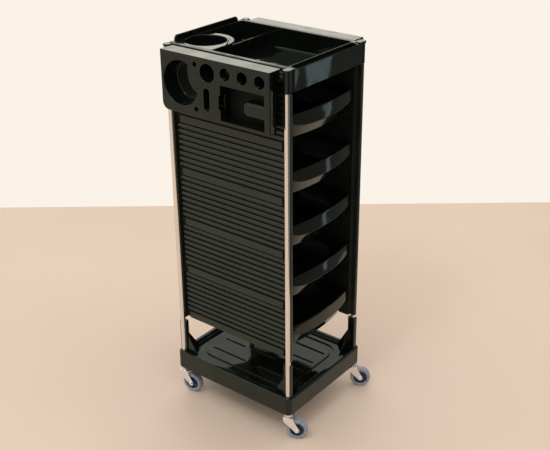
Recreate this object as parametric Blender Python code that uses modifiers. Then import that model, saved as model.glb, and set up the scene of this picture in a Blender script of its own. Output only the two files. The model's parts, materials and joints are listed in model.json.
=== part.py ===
"""Salon trolley on four tube posts: five drawers, a top tray, two hinged tool trays and casters.

Metres, +Z up. The origin is on the floor under the middle of the trolley. The open drawer front
faces -Y, and the ribbed side panels face -X and +X.
"""

import math

import bmesh
import bpy
from mathutils import Matrix, Vector

GAP = 0.0003

# Posts
POST_X = 0.131
POST_Y = 0.160
POST_R = 0.0063
POST_WALL = 0.0010
POST_BOTTOM = 0.0903
POST_TOP = 0.860

# Base tray
BASE_X = 0.1435
BASE_Y = 0.1725
BASE_BOTTOM = 0.066
BASE_TOP = 0.112
BASE_CORNER_R = 0.0125
BASE_WALL = 0.003
RIM_WIDTH = 0.012
DECK_TOP = 0.1035
DECK_THICK = 0.003
GUSSET_FLARE_TOP = 0.1640
GUSSET_TOP = 0.197
COLUMN_X = 0.1230
COLUMN_EDGE_X = 0.1338
COLUMN_Y = 0.1490
COLUMN_EDGE_Y = 0.1678
FIN_TIP_X = 0.0864
FIN_TIP_Y = 0.1171
FIN_SIDES_X = (0.1252, 0.1300)
FIN_SIDES_Y = (0.1494, 0.1540)

# Side panels
PANEL_INNER = 0.1160
PANEL_VALLEY = 0.1180
PANEL_CREST = 0.1210
PANEL_HALF = 0.1500
PANEL_BOTTOM = 0.2060
PANEL_TOP = 0.8310
WRAP_FRONT = 0.1678
WRAP_BACK = 0.1522
WRAP_INNER = 0.1226
WEB_THICK = 0.0020
WEB_BACK = 0.1480
RIB_COUNT = 8
RIB_PITCH = 0.0131

# Drawers
DRAWER_RIMS = [0.779 - 0.1245 * step for step in range(5)]
DRAWER_DEPTH = 0.050
DRAWER_SIDE = 0.1045
DRAWER_END = 0.1500
DRAWER_BOW = 0.0135
DRAWER_WALL = 0.0022
RAIL_OUTER = 0.1130
RAIL_HEIGHT = 0.0115
LEDGE_REACH = 0.1085
LEDGE_THICK = 0.0030
LEDGE_SPACING = 0.0240
LEDGE_HALF = 0.1580

# Top frame
FRAME_X = 0.1240
FRAME_Y = 0.1665
FRAME_BOTTOM = 0.8315
FRAME_TOP = 0.8800
FRAME_CORNER_R = 0.0100
FRAME_WALL = 0.0030
FRAME_RIM_THICK = 0.0040
FRAME_FRONT_DROP = 0.0030
SOCKET_R = 0.0074
EAR_R = 0.0092
EAR_THICK = 0.0042
EAR_INNER_X = 0.1160
EAR_INNER_Y = 0.1520
WEB_HALF = 0.0035
CAP_R = 0.0076
CAP_THICK = 0.0012
GUARD_FRONT = 0.1607
GUARD_BACK = 0.1655
GUARD_HALF_LENGTH = 0.1040
GUARD_TOP = 0.8915
GUARD_END_R = 0.0090

# Top tray
TRAY_X = 0.1150
TRAY_FRONT = -0.1497
TRAY_BACK = 0.1602
TRAY_FLOOR = 0.8320
TRAY_TOP = 0.8798
TRAY_WALL = 0.0022
TRAY_CORNER_R = 0.0120
CUP_X = -0.0620
CUP_Y = 0.1105
CUP_R = 0.0450
CUP_WELL_R = 0.0480
CUP_PLATE_R = 0.0600
CUP_PLATE_THICK = 0.0030
DIVIDER_FRONT = 0.0800
DIVIDER_BACK = 0.0826
DIVIDER_TOP = 0.8630

# Tool trays
TOOL_FACE = 0.1640
TOOL_BACK = 0.1420
TOOL_STRIP_BACK = 0.1275
TOOL_LOW_Y = -0.1460
TOOL_HIGH_Y = 0.1460
TOOL_BOTTOM = 0.7475
TOOL_TOP = 0.8780
TOOL_CORNER_R = 0.0170
TOOL_WALL = 0.0024
TOOL_CUP = (0.0945, 0.8140, 0.0485)
TOOL_CUP_BACK = 0.1262
TOOL_MEDIUM = (0.0175, 0.8480, 0.0195)
TOOL_SMALL = [(-0.0302 - 0.0445 * step, 0.8535, 0.0130) for step in range(3)]
TOOL_PIN_HOLES = [(0.0530, 0.8610, 0.0055), (0.0530, 0.7645, 0.0055)]
TOOL_SLOT = (0.0215, 0.7905, 0.0078, 0.0170)
TOOL_POCKET = (-0.1300, -0.0170, 0.7535, 0.8290)
TOOL_POCKET_BACK = 0.1300
TOOL_SLEEVE = 0.0018
LUG_DROP = 0.0070
HINGE_X = 0.1340
HINGE_Z = 0.8720
HINGE_PIN_R = 0.0028

# Casters
WHEEL_R = 0.0250
WHEEL_HALF = 0.0090
HUB_R = 0.0165
HUB_HALF = 0.0082
HUB_BOSS_R = 0.0060
TYRE_SHOULDER = 0.0035
TYRE_TREAD_HALF = 0.0035
AXLE_R = 0.0026
TRAIL = 0.0210
FORK_INNER = 0.0104
FORK_THICK = 0.0016
FORK_TOP = 0.0575
HEAD_R = 0.0120
STEM_R = 0.0042
STEM_TOP = 0.0860
CASTER_ANGLES = {"front_left": -60.0, "front_right": -56.0, "back_left": -80.0, "back_right": 60.0}
CORNERS = {
    "front_left": (-1, -1),
    "front_right": (1, -1),
    "back_left": (-1, 1),
    "back_right": (1, 1),
}

ROUND = 16
BLACK = (0.012, 0.013, 0.013)
SATIN_BLACK = (0.028, 0.031, 0.028)
CHROME = (0.80, 0.79, 0.77)
ZINC = (0.74, 0.74, 0.73)
NAVY = (0.020, 0.045, 0.110)
TYRE_BLUE = (0.36, 0.42, 0.50)


def clear_scene():
    for obj in list(bpy.data.objects):
        bpy.data.objects.remove(obj, do_unlink=True)


def collection(name):
    group = bpy.data.collections.new(name)
    bpy.context.scene.collection.children.link(group)
    return group


def material(name, colour, roughness, metallic=0.0):
    mat = bpy.data.materials.new(name)
    mat.use_nodes = True
    shader = mat.node_tree.nodes["Principled BSDF"]
    shader.inputs["Base Color"].default_value = (*colour, 1.0)
    shader.inputs["Roughness"].default_value = roughness
    shader.inputs["Metallic"].default_value = metallic
    return mat


def object_from(mesh_data, name="piece"):
    """Turn a bmesh into an object in the working collection."""
    bmesh.ops.recalc_face_normals(mesh_data, faces=mesh_data.faces)
    mesh = bpy.data.meshes.new(name)
    mesh_data.to_mesh(mesh)
    mesh_data.free()
    obj = bpy.data.objects.new(name, mesh)
    WORK.objects.link(obj)
    return obj


def box(low, high):
    data = bmesh.new()
    size = Vector(high) - Vector(low)
    middle = (Vector(high) + Vector(low)) / 2
    place = Matrix.Translation(middle) @ Matrix.Diagonal((*size, 1.0))
    bmesh.ops.create_cube(data, size=1.0, matrix=place)
    return object_from(data)


def side_box(x_range, y_range, z_range, sign_x=1, sign_y=1):
    """A box given by distances from the middle planes, on the side that the signs choose."""
    xs = sorted(sign_x * value for value in x_range)
    ys = sorted(sign_y * value for value in y_range)
    return box((xs[0], ys[0], z_range[0]), (xs[1], ys[1], z_range[1]))


def cylinder(centre, radius, low, high, axis="Z", segments=ROUND):
    """A cylinder along an axis, from low to high; centre holds the other two coordinates."""
    turn = {"Z": Matrix.Identity(4), "X": Matrix.Rotation(math.pi / 2, 4, "Y"),
            "Y": Matrix.Rotation(-math.pi / 2, 4, "X")}[axis]
    middle = (low + high) / 2
    spot = {"Z": (centre[0], centre[1], middle), "X": (middle, centre[0], centre[1]),
            "Y": (centre[0], middle, centre[1])}[axis]
    data = bmesh.new()
    bmesh.ops.create_cone(data, cap_ends=True, segments=segments, radius1=radius, radius2=radius,
                          depth=high - low, matrix=Matrix.Translation(spot) @ turn)
    return object_from(data)


def hull(points):
    """The convex hull of a few corner points."""
    data = bmesh.new()
    for point in points:
        data.verts.new(point)
    result = bmesh.ops.convex_hull(data, input=data.verts)
    spare = {item for item in result["geom_interior"] + result["geom_unused"]
             if isinstance(item, bmesh.types.BMVert)}
    bmesh.ops.delete(data, geom=list(spare), context="VERTS")
    bmesh.ops.dissolve_limit(data, angle_limit=math.radians(0.5), verts=data.verts, edges=data.edges)
    return object_from(data)


def prism(outline, low, high, axis="Z"):
    """An outline extruded along an axis; the outline holds the other two coordinates in order."""
    order = {"Z": lambda u, v, w: (u, v, w), "X": lambda u, v, w: (w, u, v),
             "Y": lambda u, v, w: (u, w, v)}[axis]
    data = bmesh.new()
    ring = [data.verts.new(order(u, v, low)) for u, v in outline]
    face = data.faces.new(ring)
    grown = bmesh.ops.extrude_face_region(data, geom=[face])["geom"]
    top = [item for item in grown if isinstance(item, bmesh.types.BMVert)]
    lift = Vector(order(0.0, 0.0, high - low))
    bmesh.ops.translate(data, verts=top, vec=lift)
    return object_from(data)


def arc(cx, cy, radius, start, end, steps):
    """Points along an arc, with both ends; angles in degrees."""
    angles = [math.radians(start + (end - start) * step / steps) for step in range(steps + 1)]
    return [(cx + radius * math.cos(a), cy + radius * math.sin(a)) for a in angles]


def rounded_rectangle(low, high, radii, steps=4):
    """Corner radii run from the low-low corner, counter-clockwise."""
    (x0, y0), (x1, y1) = low, high
    corners = [(x0, y0, 1, 1, 180), (x1, y0, -1, 1, 270), (x1, y1, -1, -1, 0), (x0, y1, 1, -1, 90)]
    points = []
    for (cx, cy, sx, sy, start), radius in zip(corners, radii):
        if radius == 0:
            points.append((cx, cy))
        else:
            points += arc(cx + sx * radius, cy + sy * radius, radius, start, start + 90, steps)
    return points


def gather(pieces):
    """Several separate solids as one mesh, for a single cut or union."""
    data = bmesh.new()
    for piece in pieces:
        data.from_mesh(piece.data)
        bpy.data.objects.remove(piece, do_unlink=True)
    mesh = bpy.data.meshes.new("gathered")
    data.to_mesh(mesh)
    data.free()
    obj = bpy.data.objects.new("gathered", mesh)
    WORK.objects.link(obj)
    return obj


def baked(obj):
    """Replace an object's mesh with its evaluated mesh and drop its modifiers."""
    view = obj.evaluated_get(bpy.context.evaluated_depsgraph_get())
    mesh = bpy.data.meshes.new_from_object(view)
    obj.modifiers.clear()
    obj.data = mesh
    return obj


def boolean(base, tool, operation):
    modifier = base.modifiers.new(operation.title(), "BOOLEAN")
    modifier.operation = operation
    modifier.solver = "EXACT"
    modifier.object = tool
    tool.hide_render = True
    tool.display_type = "WIRE"
    baked(base)
    bpy.data.objects.remove(tool, do_unlink=True)
    return base


def joined(base, *pieces):
    for piece in pieces:
        boolean(base, piece, "UNION")
    return base


def cut(base, *pieces):
    return boolean(base, gather(pieces), "DIFFERENCE")


def tidy(obj):
    data = bmesh.new()
    data.from_mesh(obj.data)
    bmesh.ops.remove_doubles(data, verts=data.verts, dist=0.00001)
    bmesh.ops.dissolve_limit(data, angle_limit=math.radians(0.2), verts=data.verts, edges=data.edges)
    bmesh.ops.triangulate(data, faces=data.faces)
    bmesh.ops.recalc_face_normals(data, faces=data.faces)
    data.to_mesh(obj.data)
    data.free()
    return obj


def finish(obj, name, mat, smooth=True):
    """Name a finished solid, give it its material and move it into the trolley's collection."""
    obj.name = name
    obj.data.name = name
    obj.data.materials.clear()
    obj.data.materials.append(mat)
    if smooth:
        obj.data.shade_smooth()
        obj.data.set_sharp_from_angle(angle=math.radians(35))
    WORK.objects.unlink(obj)
    TROLLEY.objects.link(obj)
    return obj


def set_axis(obj, origin):
    """Put an object's origin on its joint's axis without moving its surface."""
    obj.data.transform(Matrix.Translation(-Vector(origin)))
    obj.location = origin
    return obj


def fin(ends, sides, along, sign_x, sign_y):
    """A triangular fin from a gusset's column down to the deck; along is 0 for X and 1 for Y."""
    tip, root = ends
    profile = [(tip, DECK_TOP - 0.001), (tip, DECK_TOP + 0.001), (root, GUSSET_FLARE_TOP), (root, DECK_TOP - 0.001)]
    points = []
    for reach, z in profile:
        for side in sides:
            x, y = (reach, side) if along == 0 else (side, reach)
            points.append((sign_x * x, sign_y * y, z))
    return hull(points)


def gusset(sign_x, sign_y):
    """The corner column round the post's inner side, with two triangular fins down to the deck."""
    column = side_box((COLUMN_X, COLUMN_EDGE_X), (COLUMN_Y, COLUMN_EDGE_Y), (DECK_TOP - 0.0015, GUSSET_TOP),
                      sign_x, sign_y)
    side_fin = fin((FIN_TIP_X, COLUMN_X + 0.002), FIN_SIDES_Y, 0, sign_x, sign_y)
    end_fin = fin((FIN_TIP_Y, COLUMN_Y + 0.002), FIN_SIDES_X, 1, sign_x, sign_y)
    return [column, side_fin, end_fin]


def base_tray(mat):
    outline = rounded_rectangle((-BASE_X, -BASE_Y), (BASE_X, BASE_Y), [BASE_CORNER_R] * 4, 5)
    body = prism(outline, BASE_BOTTOM, BASE_TOP)
    inner = rounded_rectangle((-BASE_X + BASE_WALL, -BASE_Y + BASE_WALL),
                              (BASE_X - BASE_WALL, BASE_Y - BASE_WALL),
                              [BASE_CORNER_R - BASE_WALL] * 4, 4)
    hollow = prism(inner, BASE_BOTTOM - 0.01, DECK_TOP - DECK_THICK)
    well = rounded_rectangle((-BASE_X + RIM_WIDTH, -BASE_Y + RIM_WIDTH),
                             (BASE_X - RIM_WIDTH, BASE_Y - RIM_WIDTH), [0.006] * 4, 3)
    cut(body, hollow)
    cut(body, prism(well, DECK_TOP, BASE_TOP + 0.01))
    for sign_x, sign_y in CORNERS.values():
        boss = cylinder((sign_x * POST_X, sign_y * POST_Y), BASE_CORNER_R - 0.0002,
                        BASE_BOTTOM + 0.0002, BASE_TOP - 0.0002)
        joined(body, boss, *gusset(sign_x, sign_y))
    seats = [cylinder((sx * POST_X, sy * POST_Y), POST_R + GAP, POST_BOTTOM - GAP, GUSSET_TOP + 0.01)
             for sx, sy in CORNERS.values()]
    stems = [cylinder((sx * POST_X, sy * POST_Y), STEM_R + GAP, BASE_BOTTOM - 0.01, STEM_TOP + GAP)
             for sx, sy in CORNERS.values()]
    cut(body, *seats, *stems)
    return finish(tidy(body), "base_tray", mat)


def turned(profile, segments=ROUND, ring=True):
    """A profile of (radius, height) points turned about +Z.

    A ring's profile closes on itself; any other starts and ends on the axis.
    """
    data = bmesh.new()
    points = [data.verts.new((radius, 0.0, height)) for radius, height in profile]
    ends = points[1:] + points[:1] if ring else points[1:]
    for start, end in zip(points, ends):
        data.edges.new((start, end))
    mesh = bpy.data.meshes.new("profile")
    data.to_mesh(mesh)
    data.free()
    obj = bpy.data.objects.new("turned", mesh)
    WORK.objects.link(obj)
    screw = obj.modifiers.new("Turn", "SCREW")
    screw.angle = math.tau
    screw.steps = screw.render_steps = segments
    screw.use_merge_vertices = True
    screw.merge_threshold = 0.00001
    return tidy(baked(obj))


def post(name, sign_x, sign_y, mat):
    """A hollow tube, its origin on its own axis."""
    inner = POST_R - POST_WALL
    tube = turned([(inner, POST_TOP), (POST_R, POST_TOP), (POST_R, POST_BOTTOM), (inner, POST_BOTTOM)])
    tube.location = (sign_x * POST_X, sign_y * POST_Y, 0.0)
    return finish(tube, name, mat)


def rib_outline():
    """Cross-section of the ribbed plate, as distance from the middle plane and height."""
    points = [(PANEL_VALLEY, PANEL_BOTTOM), (PANEL_VALLEY, PANEL_BOTTOM + 0.003)]
    for rim in reversed(DRAWER_RIMS):
        middle = rim - 0.003
        for step in range(RIB_COUNT):
            z = middle + (step - (RIB_COUNT - 1) / 2) * RIB_PITCH
            points += [(PANEL_VALLEY, z - 0.0048), (PANEL_CREST, z + 0.0008), (PANEL_VALLEY, z + 0.0048)]
    points += [(PANEL_VALLEY, PANEL_TOP), (PANEL_INNER, PANEL_TOP), (PANEL_INNER, PANEL_BOTTOM)]
    return points


def side_panel(name, sign, mat):
    """A ribbed plate whose two upright edges wrap the inner half of each post."""
    outline = [(sign * x, z) for x, z in rib_outline()]
    panel = prism(outline, -PANEL_HALF, PANEL_HALF, "Y")
    height = (PANEL_BOTTOM, PANEL_TOP)
    bores = []
    for sign_y in (-1, 1):
        web = side_box((PANEL_INNER, PANEL_VALLEY), (WEB_BACK, WRAP_BACK + WEB_THICK), height, sign, sign_y)
        bridge = side_box((PANEL_VALLEY - 0.0005, WRAP_INNER + 0.0005), (WRAP_BACK + 0.0002, WRAP_BACK + WEB_THICK),
                          height, sign, sign_y)
        wrap = side_box((WRAP_INNER, POST_X), (WRAP_BACK, WRAP_FRONT), height, sign, sign_y)
        joined(panel, web, bridge, wrap)
        centre = (sign * POST_X, sign_y * POST_Y)
        bores.append(cylinder(centre, POST_R + GAP, PANEL_BOTTOM - 0.01, PANEL_TOP + 0.01))
    ledges = []
    for rim in DRAWER_RIMS:
        top = rim - RAIL_HEIGHT - GAP
        for level in (top, top + LEDGE_SPACING):
            ledges.append(side_box((LEDGE_REACH, PANEL_INNER + 0.001), (-LEDGE_HALF, LEDGE_HALF),
                                   (level - LEDGE_THICK, level), sign))
    joined(panel, gather(ledges))
    cut(panel, *bores)
    return finish(tidy(panel), name, mat)


def drawer_ring(half_width, end, bow, height, steps=10):
    """A closed outline: straight sides and a bowed front and back; height may vary with x."""
    points = []
    for sign in (-1, 1):
        for step in range(steps + 1):
            share = 2 * step / steps - 1
            x = -sign * share * half_width
            y = sign * (end + bow * (1 - share * share))
            points.append((x, y, height(share)))
    return points


def drawer_shell(rim):
    """An open tub lofted from the rim to the crescent crease and on to the floor."""
    rings = [
        drawer_ring(DRAWER_SIDE, DRAWER_END, DRAWER_BOW, lambda share: rim),
        drawer_ring(DRAWER_SIDE - 0.001, DRAWER_END - 0.0005, DRAWER_BOW - 0.001,
                    lambda share: rim - 0.006 - 0.030 * (1 - share * share)),
        drawer_ring(DRAWER_SIDE - 0.009, DRAWER_END - 0.012, DRAWER_BOW - 0.001,
                    lambda share: rim - DRAWER_DEPTH),
    ]
    data = bmesh.new()
    loops = [[data.verts.new(point) for point in ring] for ring in rings]
    count = len(loops[0])
    for upper, lower in zip(loops, loops[1:]):
        for index in range(count):
            after = (index + 1) % count
            data.faces.new((upper[index], upper[after], lower[after], lower[index]))
    data.faces.new(loops[-1])
    shell = object_from(data)
    solidify = shell.modifiers.new("Wall", "SOLIDIFY")
    solidify.thickness = DRAWER_WALL
    solidify.offset = -1.0
    solidify.use_even_offset = True
    return baked(shell)


def drawer(name, rim, mat):
    body = drawer_shell(rim)
    for sign in (-1, 1):
        rail = side_box((DRAWER_SIDE - DRAWER_WALL, RAIL_OUTER), (-DRAWER_END - 0.003, DRAWER_END + 0.003),
                        (rim - RAIL_HEIGHT, rim - 0.0001), sign)
        joined(body, rail)
    return finish(set_axis(tidy(body), (0.0, 0.0, rim)), name, mat)


def ear(sign_x, sign_y):
    """A corner of the top frame: the socket over the post, its web and the flat plate on top."""
    place = (sign_x * POST_X, sign_y * POST_Y)
    socket = cylinder(place, SOCKET_R, FRAME_BOTTOM + GAP, FRAME_TOP - 0.001)
    web = side_box((FRAME_X - 0.002, POST_X), (POST_Y - WEB_HALF, POST_Y + WEB_HALF),
                   (FRAME_BOTTOM + 2 * GAP, FRAME_TOP - 0.002), sign_x, sign_y)
    disc = cylinder(place, EAR_R, FRAME_TOP - EAR_THICK, FRAME_TOP - 0.0001)
    plate = side_box((EAR_INNER_X, POST_X), (EAR_INNER_Y, FRAME_Y - 0.0002),
                     (FRAME_TOP - EAR_THICK - 0.0002, FRAME_TOP), sign_x, sign_y)
    return [socket, web, disc, plate]


def front_slope():
    """The wedge taken off the front rim, which falls away towards the front."""
    low = FRAME_TOP - FRAME_FRONT_DROP
    back = TRAY_FRONT - 0.0010
    points = [(-FRAME_Y, low), (back, FRAME_TOP), (back, FRAME_TOP + 0.001), (-FRAME_Y - 0.001, FRAME_TOP + 0.001),
              (-FRAME_Y - 0.001, low)]
    return hull([(x, y, z) for x in (-FRAME_X - 0.001, FRAME_X + 0.001) for y, z in points])


def pin_bore(sign_x, sign_y):
    ends = sorted((sign_y * (POST_Y - 0.015), sign_y * (POST_Y + GAP)))
    return cylinder((sign_x * HINGE_X, HINGE_Z), HINGE_PIN_R + GAP, *ends, "Y", 12)


def top_frame(mat):
    outline = rounded_rectangle((-FRAME_X, -FRAME_Y), (FRAME_X, FRAME_Y), [FRAME_CORNER_R] * 4)
    body = prism(outline, FRAME_BOTTOM, FRAME_TOP)
    opening = rounded_rectangle((-TRAY_X - GAP, TRAY_FRONT - GAP), (TRAY_X + GAP, TRAY_BACK + GAP),
                                [TRAY_CORNER_R + GAP] * 4)
    under = rounded_rectangle((-FRAME_X + FRAME_WALL, -FRAME_Y + FRAME_WALL),
                              (FRAME_X - FRAME_WALL, FRAME_Y - FRAME_WALL),
                              [FRAME_CORNER_R - FRAME_WALL] * 4)
    cut(body, prism(opening, FRAME_BOTTOM - 0.01, FRAME_TOP + 0.01))
    cut(body, prism(under, FRAME_BOTTOM - 0.01, FRAME_TOP - FRAME_RIM_THICK))
    cut(body, front_slope())
    guard = prism(rounded_rectangle((-GUARD_HALF_LENGTH, FRAME_TOP - 0.003), (GUARD_HALF_LENGTH, GUARD_TOP),
                                    [0.0, 0.0, GUARD_END_R, GUARD_END_R]), GUARD_FRONT, GUARD_BACK, "Y")
    joined(body, guard)
    for sign_x, sign_y in CORNERS.values():
        joined(body, *ear(sign_x, sign_y))
    bores = [cylinder((sx * POST_X, sy * POST_Y), POST_R + GAP, FRAME_BOTTOM - 0.01, POST_TOP + GAP)
             for sx, sy in CORNERS.values()]
    seats = [cylinder((sx * POST_X, sy * POST_Y), CAP_R + GAP, FRAME_TOP - CAP_THICK - GAP, FRAME_TOP + 0.01)
             for sx, sy in CORNERS.values()]
    pins = [pin_bore(sx, sy) for sx, sy in CORNERS.values()]
    cut(body, *bores, *seats, *pins)
    return finish(tidy(body), "top_frame", mat)


def cup_plate(inset):
    """The flat surround of the cup: round to the right, square against the tray's back left walls."""
    low = TRAY_TOP - CUP_PLATE_THICK
    plate = cylinder((CUP_X, CUP_Y), CUP_PLATE_R, low, TRAY_TOP - 0.0002, segments=28)
    square_low = (-TRAY_X, CUP_Y - CUP_PLATE_R + 0.0002, low + 0.0001)
    joined(plate, box(square_low, (CUP_X, TRAY_BACK, TRAY_TOP - 0.0003)))
    outline = rounded_rectangle((-TRAY_X + inset, 0.0), (TRAY_X - inset, TRAY_BACK - inset),
                                [0.0, 0.0, TRAY_CORNER_R - inset, TRAY_CORNER_R - inset])
    return boolean(plate, prism(outline, low - 0.01, TRAY_TOP + 0.01), "INTERSECT")


def top_tray(mat):
    outline = rounded_rectangle((-TRAY_X, TRAY_FRONT), (TRAY_X, TRAY_BACK), [TRAY_CORNER_R] * 4)
    inner = rounded_rectangle((-TRAY_X + TRAY_WALL, TRAY_FRONT + TRAY_WALL),
                              (TRAY_X - TRAY_WALL, TRAY_BACK - TRAY_WALL),
                              [TRAY_CORNER_R - TRAY_WALL] * 4)
    body = prism(outline, TRAY_FLOOR, TRAY_TOP)
    cut(body, prism(inner, TRAY_FLOOR + TRAY_WALL, TRAY_TOP + 0.01))
    inset = 0.0010
    well = cylinder((CUP_X, CUP_Y), CUP_WELL_R, TRAY_FLOOR + inset, TRAY_TOP - 0.0006, segments=28)
    corner_outline = rounded_rectangle((-TRAY_X + inset, CUP_Y), (CUP_X, TRAY_BACK - inset),
                                       [0.0, 0.0, 0.0, TRAY_CORNER_R - inset])
    corner = prism(corner_outline, TRAY_FLOOR + inset, TRAY_TOP - 0.0005)
    divider = box((CUP_X + CUP_R / 2, DIVIDER_FRONT, TRAY_FLOOR + inset),
                  (TRAY_X - inset, DIVIDER_BACK, DIVIDER_TOP))
    joined(body, well, corner, cup_plate(inset), divider)
    cut(body, cylinder((CUP_X, CUP_Y), CUP_R, TRAY_FLOOR + TRAY_WALL, TRAY_TOP + 0.01, segments=28))
    return finish(tidy(body), "top_tray", mat)


def capsule(cy, cz, radius, half_height, steps=6):
    """An upright slot outline with round ends."""
    upper = arc(cy, cz + half_height, radius, 0, 180, steps)
    lower = arc(cy, cz - half_height, radius, 180, 360, steps)
    return upper + lower


def tool_tray_body():
    """The left tool tray, hanging: outer face at -X, wells reaching back towards the trolley."""
    outline = rounded_rectangle((TOOL_LOW_Y, TOOL_BOTTOM), (TOOL_HIGH_Y, TOOL_TOP),
                                [0.004, TOOL_CORNER_R, 0.0, 0.0])
    inner = rounded_rectangle((TOOL_LOW_Y + TOOL_WALL, TOOL_BOTTOM + TOOL_WALL),
                              (TOOL_HIGH_Y - TOOL_WALL, TOOL_TOP - TOOL_WALL),
                              [0.002, TOOL_CORNER_R - TOOL_WALL, 0.0, 0.0])
    body = prism(outline, -TOOL_FACE, -TOOL_BACK, "X")
    cut(body, prism(inner, -TOOL_FACE + TOOL_WALL, -TOOL_BACK + 0.01, "X"))
    strip = box((-TOOL_BACK - 0.004, TOOL_LOW_Y, TOOL_TOP - TOOL_WALL),
                (-TOOL_STRIP_BACK, TOOL_HIGH_Y, TOOL_TOP))
    joined(body, strip)
    for y in (TOOL_LOW_Y, TOOL_HIGH_Y - TOOL_WALL):
        lug = box((-TOOL_BACK - 0.004, y, HINGE_Z - LUG_DROP),
                  (-TOOL_STRIP_BACK - 0.002, y + TOOL_WALL, TOOL_TOP - 0.001))
        joined(body, lug)
    face = -TOOL_FACE + TOOL_WALL / 2
    y, z, r = TOOL_CUP
    cup = cylinder((y, z), r + TOOL_SLEEVE, face, -TOOL_CUP_BACK, "X", 28)
    low_y, high_y, low_z, high_z = TOOL_POCKET
    margin = TOOL_SLEEVE
    pocket_low = (face, low_y - margin, low_z - margin)
    pocket = box(pocket_low, (-TOOL_POCKET_BACK, high_y + margin, high_z + margin))
    joined(body, cup, pocket)
    sleeves = [cylinder((y, z), r + TOOL_SLEEVE, face, -TOOL_BACK - 0.002, "X", 16)
               for y, z, r in [TOOL_MEDIUM, *TOOL_SMALL]]
    for sleeve in sleeves:
        joined(body, sleeve)
    return body


def tool_tray_cuts():
    front = -TOOL_FACE - 0.01
    y, z, r = TOOL_CUP
    low_y, high_y, low_z, high_z = TOOL_POCKET
    cuts = [
        cylinder((y, z), r, front, -TOOL_CUP_BACK - TOOL_WALL, "X", 28),
        box((front, low_y, low_z), (-TOOL_POCKET_BACK - TOOL_WALL, high_y, high_z)),
    ]
    for y, z, r in [TOOL_MEDIUM, *TOOL_SMALL]:
        cuts.append(cylinder((y, z), r, front, -TOOL_BACK + 0.01, "X", 16))
    for y, z, r in TOOL_PIN_HOLES:
        cuts.append(cylinder((y, z), r, front, -TOOL_FACE + 0.01, "X", 12))
    y, z, r, half_height = TOOL_SLOT
    cuts.append(prism(capsule(y, z, r, half_height), front, -TOOL_FACE + 0.01, "X"))
    for end in (TOOL_LOW_Y, TOOL_HIGH_Y):
        cuts.append(cylinder((-HINGE_X, HINGE_Z), HINGE_PIN_R + GAP, end - 0.005, end + 0.005, "Y", 12))
    return cuts


def tool_trays(mat):
    """Both sides carry the same moulding, the right one turned half round."""
    left = cut(tool_tray_body(), *tool_tray_cuts())
    tidy(left)
    right = bpy.data.objects.new("piece", left.data.copy())
    WORK.objects.link(right)
    right.data.transform(Matrix.Rotation(math.pi, 4, "Z"))
    for name, obj, sign in (("tool_tray_left", left, -1), ("tool_tray_right", right, 1)):
        finish(set_axis(obj, (sign * HINGE_X, 0.0, HINGE_Z)), name, mat)


def hinge_pins(mat):
    for name, (sign_x, sign_y) in CORNERS.items():
        tray_end = TOOL_LOW_Y if sign_x * sign_y > 0 else TOOL_HIGH_Y
        start = abs(tray_end) - TOOL_WALL - 0.002
        ends = sorted((sign_y * start, sign_y * (POST_Y - 0.0005)))
        pin = cylinder((sign_x * HINGE_X, HINGE_Z), HINGE_PIN_R, *ends, "Y", 12)
        finish(set_axis(pin, (sign_x * HINGE_X, 0.0, HINGE_Z)), f"hinge_pin_{name}", mat)


def post_caps(mat):
    """Flush discs over the tops of the posts."""
    low = FRAME_TOP - CAP_THICK
    for name, (sign_x, sign_y) in CORNERS.items():
        cap = turned([(0.0, FRAME_TOP), (CAP_R - 0.0004, FRAME_TOP), (CAP_R, FRAME_TOP - 0.0004), (CAP_R, low),
                      (0.0, low)], ring=False)
        cap.location = (sign_x * POST_X, sign_y * POST_Y, 0.0)
        finish(cap, f"post_cap_{name}", mat)


def caster_frame(name):
    """The caster's own frame: its swivel axis at the post, its wheel trailing along its +X."""
    sign_x, sign_y = CORNERS[name]
    turn = Matrix.Rotation(math.radians(CASTER_ANGLES[name]), 4, "Z")
    return Matrix.Translation((sign_x * POST_X, sign_y * POST_Y, 0.0)) @ turn


def caster_stem():
    head = cylinder((0.0, 0.0), HEAD_R, FORK_TOP + GAP, BASE_BOTTOM - GAP)
    stem = cylinder((0.0, 0.0), STEM_R, FORK_TOP + 0.002, STEM_TOP, segments=12)
    return joined(head, stem)


def caster_fork():
    """A pressed fork: a round crown and two tapering legs with round ends at the axle."""
    crown_low = FORK_TOP - 0.0030
    outer = FORK_INNER + FORK_THICK
    crown = cylinder((0.0, 0.0), HEAD_R + 0.001, crown_low, FORK_TOP)
    bridge = box((-0.0105, -outer + 0.0001, crown_low + 0.0002), (0.0125, outer - 0.0001, FORK_TOP - 0.0004))
    joined(crown, bridge)
    foot = arc(TRAIL, WHEEL_R, 0.0062, -150, 30, 8)
    leg_outline = [(-0.0110, FORK_TOP - 0.001), *foot, (0.0135, FORK_TOP - 0.001)]
    for low, high in ((-outer, -FORK_INNER), (FORK_INNER, outer)):
        joined(crown, prism(leg_outline, low, high, "Y"))
    return cut(crown, cylinder((TRAIL, WHEEL_R), AXLE_R + GAP, -0.03, 0.03, "Y", 12))


def caster_axle():
    reach = FORK_INNER + FORK_THICK
    shaft = cylinder((TRAIL, WHEEL_R), AXLE_R, -reach - 0.001, reach + 0.001, "Y", 12)
    for low, high in ((-reach - 0.0030, -reach - GAP), (reach + GAP, reach + 0.0030)):
        joined(shaft, cylinder((TRAIL, WHEEL_R), 0.0046, low, high, "Y", 6))
    return shaft


def on_axle(obj):
    """Turn a solid made about +Z on to the axle of the caster's own frame."""
    obj.data.transform(Matrix.Translation((TRAIL, 0.0, WHEEL_R)) @ Matrix.Rotation(math.pi / 2, 4, "X"))
    return obj


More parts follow.
